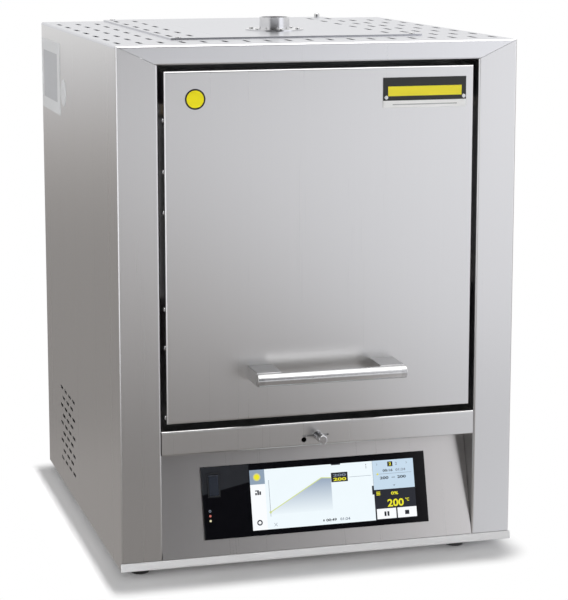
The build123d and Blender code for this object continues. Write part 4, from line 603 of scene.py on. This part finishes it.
glow(
    "screen_grey_marks",
    3,
    LIT_GREY,
    bar(-47.3, -46.9, 32.4, 66.8),
    bar(33.3, 55.2, 63.6, 63.9),
    bar(60.0, 96.0, 64.05, 64.35),
    figures("01:24", 21.2, 31.2, 23.2, 25.8),
    figures("01:24", 80.3, 90.3, 66.1, 68.5),
    figures("2", 80.4, 82.2, 71.8, 74.6),
    stroke(0.35, (-44.4, 22.8), (-41.2, 26.0)),
    stroke(0.35, (-44.4, 26.0), (-41.2, 22.8)),
    stroke(0.4, (61.1, 74.4), (62.1, 73.5), (61.1, 72.6)),
    stroke(0.4, (91.3, 74.4), (92.3, 73.5), (91.3, 72.6)),
)
glow(
    "screen_dark_marks",
    3,
    LIT_DARK,
    bar(15.0, 31.6, 60.0, 69.0),
    bar(15.7, 24.9, 76.2, 77.3),
    bar(55.2, 57.0, 45.1, 53.5),
    bar(72.4, 77.6, 70.9, 75.6),
    bar(-61.0, -59.4, 53.5, 55.6),
    bar(-58.9, -57.3, 53.5, 58.0),
    bar(-61.0, -57.3, 57.0, 58.0),
    bar(-56.9, -55.3, 53.5, 56.8),
    ring(-58.3, 27.4, 2.7, 1.5),
    figures("00:49", 7.2, 17.7, 23.2, 25.8),
    bar(4.2, 5.4, 23.6, 25.4),
    figures("00:16", 67.2, 77.3, 66.1, 68.5),
    figures("200", 63.9, 72.6, 59.0, 61.7),
    figures("200", 81.6, 90.3, 59.0, 61.7),
    stroke(0.5, (75.8, 60.3), (79.2, 60.3)),
    stroke(0.4, (76.8, 53.3), (77.8, 52.3), (78.8, 53.3)),
    disc(50.6, 71.2, 0.4),
    disc(50.6, 72.8, 0.4),
    disc(50.6, 74.4, 0.4),
    bar(65.9, 67.9, 23.7, 28.1),
    bar(68.9, 70.9, 23.7, 28.1),
    bar(86.9, 91.1, 23.9, 27.9),
)
glow(
    "screen_yellow_figures",
    4,
    LIT_YELLOW,
    figures("200", 17.0, 30.0, 61.0, 64.0),
    figures("2", 74.0, 76.2, 71.8, 74.8),
    disc(61.8, 64.2, 0.9),
    figures("200", 69.8, 86.3, 32.3, 39.6),
    figures("°C", 88.1, 91.9, 36.6, 39.8),
    figures("0%", 74.0, 81.3, 43.6, 46.6),
    bar(59.2, 63.1, 44.0, 44.8),
    bar(59.2, 63.1, 45.4, 46.2),
    bar(59.2, 63.1, 46.8, 47.5),
)
glow("screen_grey_figures", 4, LIT_GREY, figures("200", 17.0, 30.0, 65.2, 67.6))
glow("status_ring", 1, LIT_GREY, ring(-106.0, 42.0, 1.2, 0.7))
glow("status_red", 1, LIT_RED, disc(-106.0, 37.4, 1.1))
glow("status_yellow", 1, lit("lit_cream", (0.72, 0.66, 0.42)), disc(-106.0, 32.8, 1.1))


# Round patch on the door

DOOR_FACE_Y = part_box("door_tray")[0][1]
PATCH_CENTRE = Vector((-119.8 * MM, DOOR_FACE_Y, 447.0 * MM))
PATCH_RADIUS = 9.5
PATCH_RIM = 1.5
PATCH_THICK = 0.25 * MM


def on_door(depth):
    """The place of a flat drawing on the door's face, its Y upwards."""
    turn = Matrix(((1, 0, 0), (0, 0, -1), (0, 1, 0))).to_4x4()
    return Matrix.Translation(PATCH_CENTRE + Vector((0, -depth, 0))) @ turn


flat_piece(
    "patch_rim",
    [disc(0, 0, PATCH_RADIUS)],
    on_door(0),
    PATCH_THICK,
    printed("patch_black", (0.02, 0.02, 0.02)),
    "door",
)
flat_piece(
    "patch_face",
    [disc(0, 0, PATCH_RADIUS - PATCH_RIM)],
    on_door(PATCH_THICK),
    INK,
    printed("patch_yellow", (1.0, 0.87, 0.0)),
    "door",
)


# Studio: floor, reflecting cards, soft light and surroundings

FLOOR_HALF = 30
CARD_HALF = 7
WALL_Y = -5.0
KEY_GLOW = 2100.0
OVERHEAD_GLOW = 2.8
FILL_GLOW = 2.4
LIGHT_HEIGHT = 2.3
WORLD_AS_LIGHT = 0.38

# The floor shows its shadow in a box round the furnace, then fades to white
SHADOW_SHIFT = 0.015
SHADOW_HALF_X = 0.175
SHADOW_HALF_Y = 0.19
FADE_START = 0.018
FADE_END = 0.052

# Tints of the dim and the bright parts of what the steel mirrors
WARM_DARK = (1.03, 0.975, 0.94)
COOL_LIGHT = (0.975, 0.985, 1.03)


def card(name, finish, corners, gives_light=False):
    """A flat card. It only shows in reflections, unless it lights the furnace too."""
    mesh = bmesh.new()
    mesh.faces.new([mesh.verts.new(corner) for corner in corners])
    data = bpy.data.meshes.new(name)
    mesh.to_mesh(data)
    mesh.free()
    data.materials.append(finish)
    piece = bpy.data.objects.new(name, data)
    bpy.context.collection.objects.link(piece)
    piece.visible_camera = False
    piece.visible_diffuse = gives_light
    piece.visible_shadow = False
    piece.visible_transmission = False
    return piece


def level_card(middle, half_x, half_y):
    """Corners of a level card round its middle, facing down."""
    x, y, z = middle
    turns = ((-1, -1), (-1, 1), (1, 1), (1, -1))
    return [(x + side * half_x, y + end * half_y, z) for side, end in turns]


def glowing(name, colour, strength=1.0):
    """A finish that only gives light."""
    finish = Finish(name, {"Base Color": (0, 0, 0), "Specular IOR Level": 0.0})
    finish.vary("Emission Color", colour)
    finish.vary("Emission Strength", strength)
    return finish


def tinted(finish, level):
    """Makes a glowing finish as bright as a level, warm where dim and cool where bright."""
    tint = finish.mix(finish.smooth(level, 0.35, 0.85), WARM_DARK, COOL_LIGHT)
    finish.vary("Emission Color", finish.lighten(tint, level - 1.0))
    return finish.material


def floor_card_finish():
    """How bright the floor looks in the steel: dim on the left in front and close behind."""
    finish = glowing("floor_card", (1, 1, 1))
    x, y, z = finish.axes()
    # Further out in front, as the door and the jambs mirror it: dim on the left
    reach = x - y * 0.02
    far = finish.smooth(reach, 0.10, 0.64, 0.38, 0.96) + finish.smooth(reach, 0.75, 1.6, 0.0, 0.16)
    far = far + finish.smooth(y, -2.9, -2.2, 0.15, 0.0)
    far = far + finish.smooth(y, -1.75, -1.3) * finish.smooth(x, 0.12, 0.34, 0.05, 0.20)
    # Close in front, as the strip and the feet of the jambs mirror it
    near = finish.smooth(x + y * 0.25, -0.03, 0.15, 0.24, 0.80)
    near = near + finish.smooth(y, -0.6, -0.4, 0.0, 0.05)
    front = far + finish.smooth(y, -1.12, -0.95) * (near - far)
    # Far to the left, bright for the upper part of the left side
    front = front + finish.smooth(x, -1.3, -0.6, 1.3, 0.0)
    # Behind the front of the furnace: dim close by, lighter far off
    back = finish.smooth(y, 1.5, 6.0, 0.30, 0.68) + finish.smooth(y, 0.15, 0.5, 0.06, 0.0)
    behind = y > -0.15
    return tinted(finish, front + behind * (back - front))


def wall_card_finish():
    """The room in front: bright low down, and above dark on the left and light on the right,
    as the control panel mirrors it."""
    finish = glowing("wall_card", (1, 1, 1))
    x, y, z = finish.axes()
    upper = finish.smooth(x, 1.68, 2.05, 0.0, 1.6)
    low = finish.smooth(z, 0.30, 0.55, 1.0, 0.0)
    return tinted(finish, upper + low * (1.25 - upper))


def pale_floor():
    """Pale floor that keeps the shadow and goes to plain white away from the furnace."""
    sockets = {"Base Color": (0.94, 0.94, 0.945), "Roughness": 0.9, "Specular IOR Level": 0.1}
    finish = Finish("pale_floor", sockets)
    x, y, z = finish.axes()
    beside = finish.maths("ABSOLUTE", x + SHADOW_SHIFT) - SHADOW_HALF_X
    beside = finish.maths("MAXIMUM", beside, 0.0)
    before = finish.maths("ABSOLUTE", y) - SHADOW_HALF_Y
    before = finish.maths("MAXIMUM", before, 0.0)
    away = finish.maths("SQRT", beside * beside + before * before)
    seen = finish.node("LightPath", {}, {}, "Is Camera Ray")
    factor = finish.smooth(away, FADE_START, FADE_END) * seen
    plain = Number(finish, finish.shader.outputs[0])
    white = finish.node("Emission", {}, {"Color": (1.0, 1.0, 1.0), "Strength": 1.0})
    blend = finish.node("MixShader", {}, {0: factor, 1: plain, 2: white})
    finish.feed(finish.tree.nodes["Material Output"].inputs["Surface"], blend)
    return finish.material


floor = card("floor", pale_floor(), level_card((0, 0, 0), FLOOR_HALF, FLOOR_HALF)[::-1], True)
floor.visible_camera = True
floor.visible_shadow = True
floor.visible_glossy = False

card("floor_card", floor_card_finish(), level_card((0, 0, 0.0005), CARD_HALF, CARD_HALF)[::-1])
card("wall_card", wall_card_finish(), [(8, WALL_Y, 0), (8, WALL_Y, 5), (-6, WALL_Y, 5), (-6, WALL_Y, 0)])
key = card(
    "key_light",
    glowing("key_glow", (1, 1, 1), KEY_GLOW).material,
    level_card((-0.13, 0.08, LIGHT_HEIGHT), 0.018, 0.085),
    True,
)
key.visible_glossy = False
card(
    "overhead_card",
    glowing("overhead_glow", (1, 1, 1), OVERHEAD_GLOW).material,
    level_card((0, -0.3, LIGHT_HEIGHT), 1.1, 1.5),
)
fill = card(
    "front_fill",
    glowing("fill_glow", (1, 1, 1), FILL_GLOW).material,
    [(-2.2, -2.6, 0.6), (-0.4, -3.0, 0.6), (-0.4, -2.8, 2.0), (-2.2, -2.4, 2.0)],
    True,
)
fill.visible_glossy = False


class Room(Finish):
    """The world's nodes, written as a finish is."""

    def __init__(self, name):
        world = bpy.data.worlds.new(name)
        world.use_nodes = True
        bpy.context.scene.world = world
        self.tree = world.node_tree
        self.shader = self.tree.nodes["Background"]


def surroundings():
    """White to the eye, in reflections and through glass, softer as a light."""
    room = Room("surroundings")
    seen = room.node("LightPath", {}, {}, "Is Camera Ray")
    mirrored = room.node("LightPath", {}, {}, "Is Glossy Ray")
    through = room.node("LightPath", {}, {}, "Is Transmission Ray")
    plain = room.maths("MAXIMUM", room.maths("MAXIMUM", seen, mirrored), through)
    room.vary("Color", (1, 1, 1))
    level = room.node("MapRange", {}, {"Value": plain, "To Min": WORLD_AS_LIGHT, "To Max": 1.0})
    room.vary("Strength", level)


surroundings()
bpy.context.scene.view_settings.view_transform = "Standard"


# Camera at the photograph's viewing angle: its lens and sensor in millimetres, its turns in radians

LENS = 121.6
SENSOR = 36.0
SHIFT_UP = -0.0833
CAMERA_PLACE = (-0.54225, -1.96881, 0.6160)
LOOK_DOWN = 0.1664
LOOK_RIGHT = 0.2769

view = bpy.data.cameras.new("photo_view")
view.lens = LENS
view.sensor_width = SENSOR
view.shift_y = SHIFT_UP
camera = bpy.data.objects.new("photo_view", view)
camera.location = CAMERA_PLACE
camera.rotation_euler = (math.pi / 2 - LOOK_DOWN, 0, -LOOK_RIGHT)
bpy.context.collection.objects.link(camera)
bpy.context.scene.camera = camera
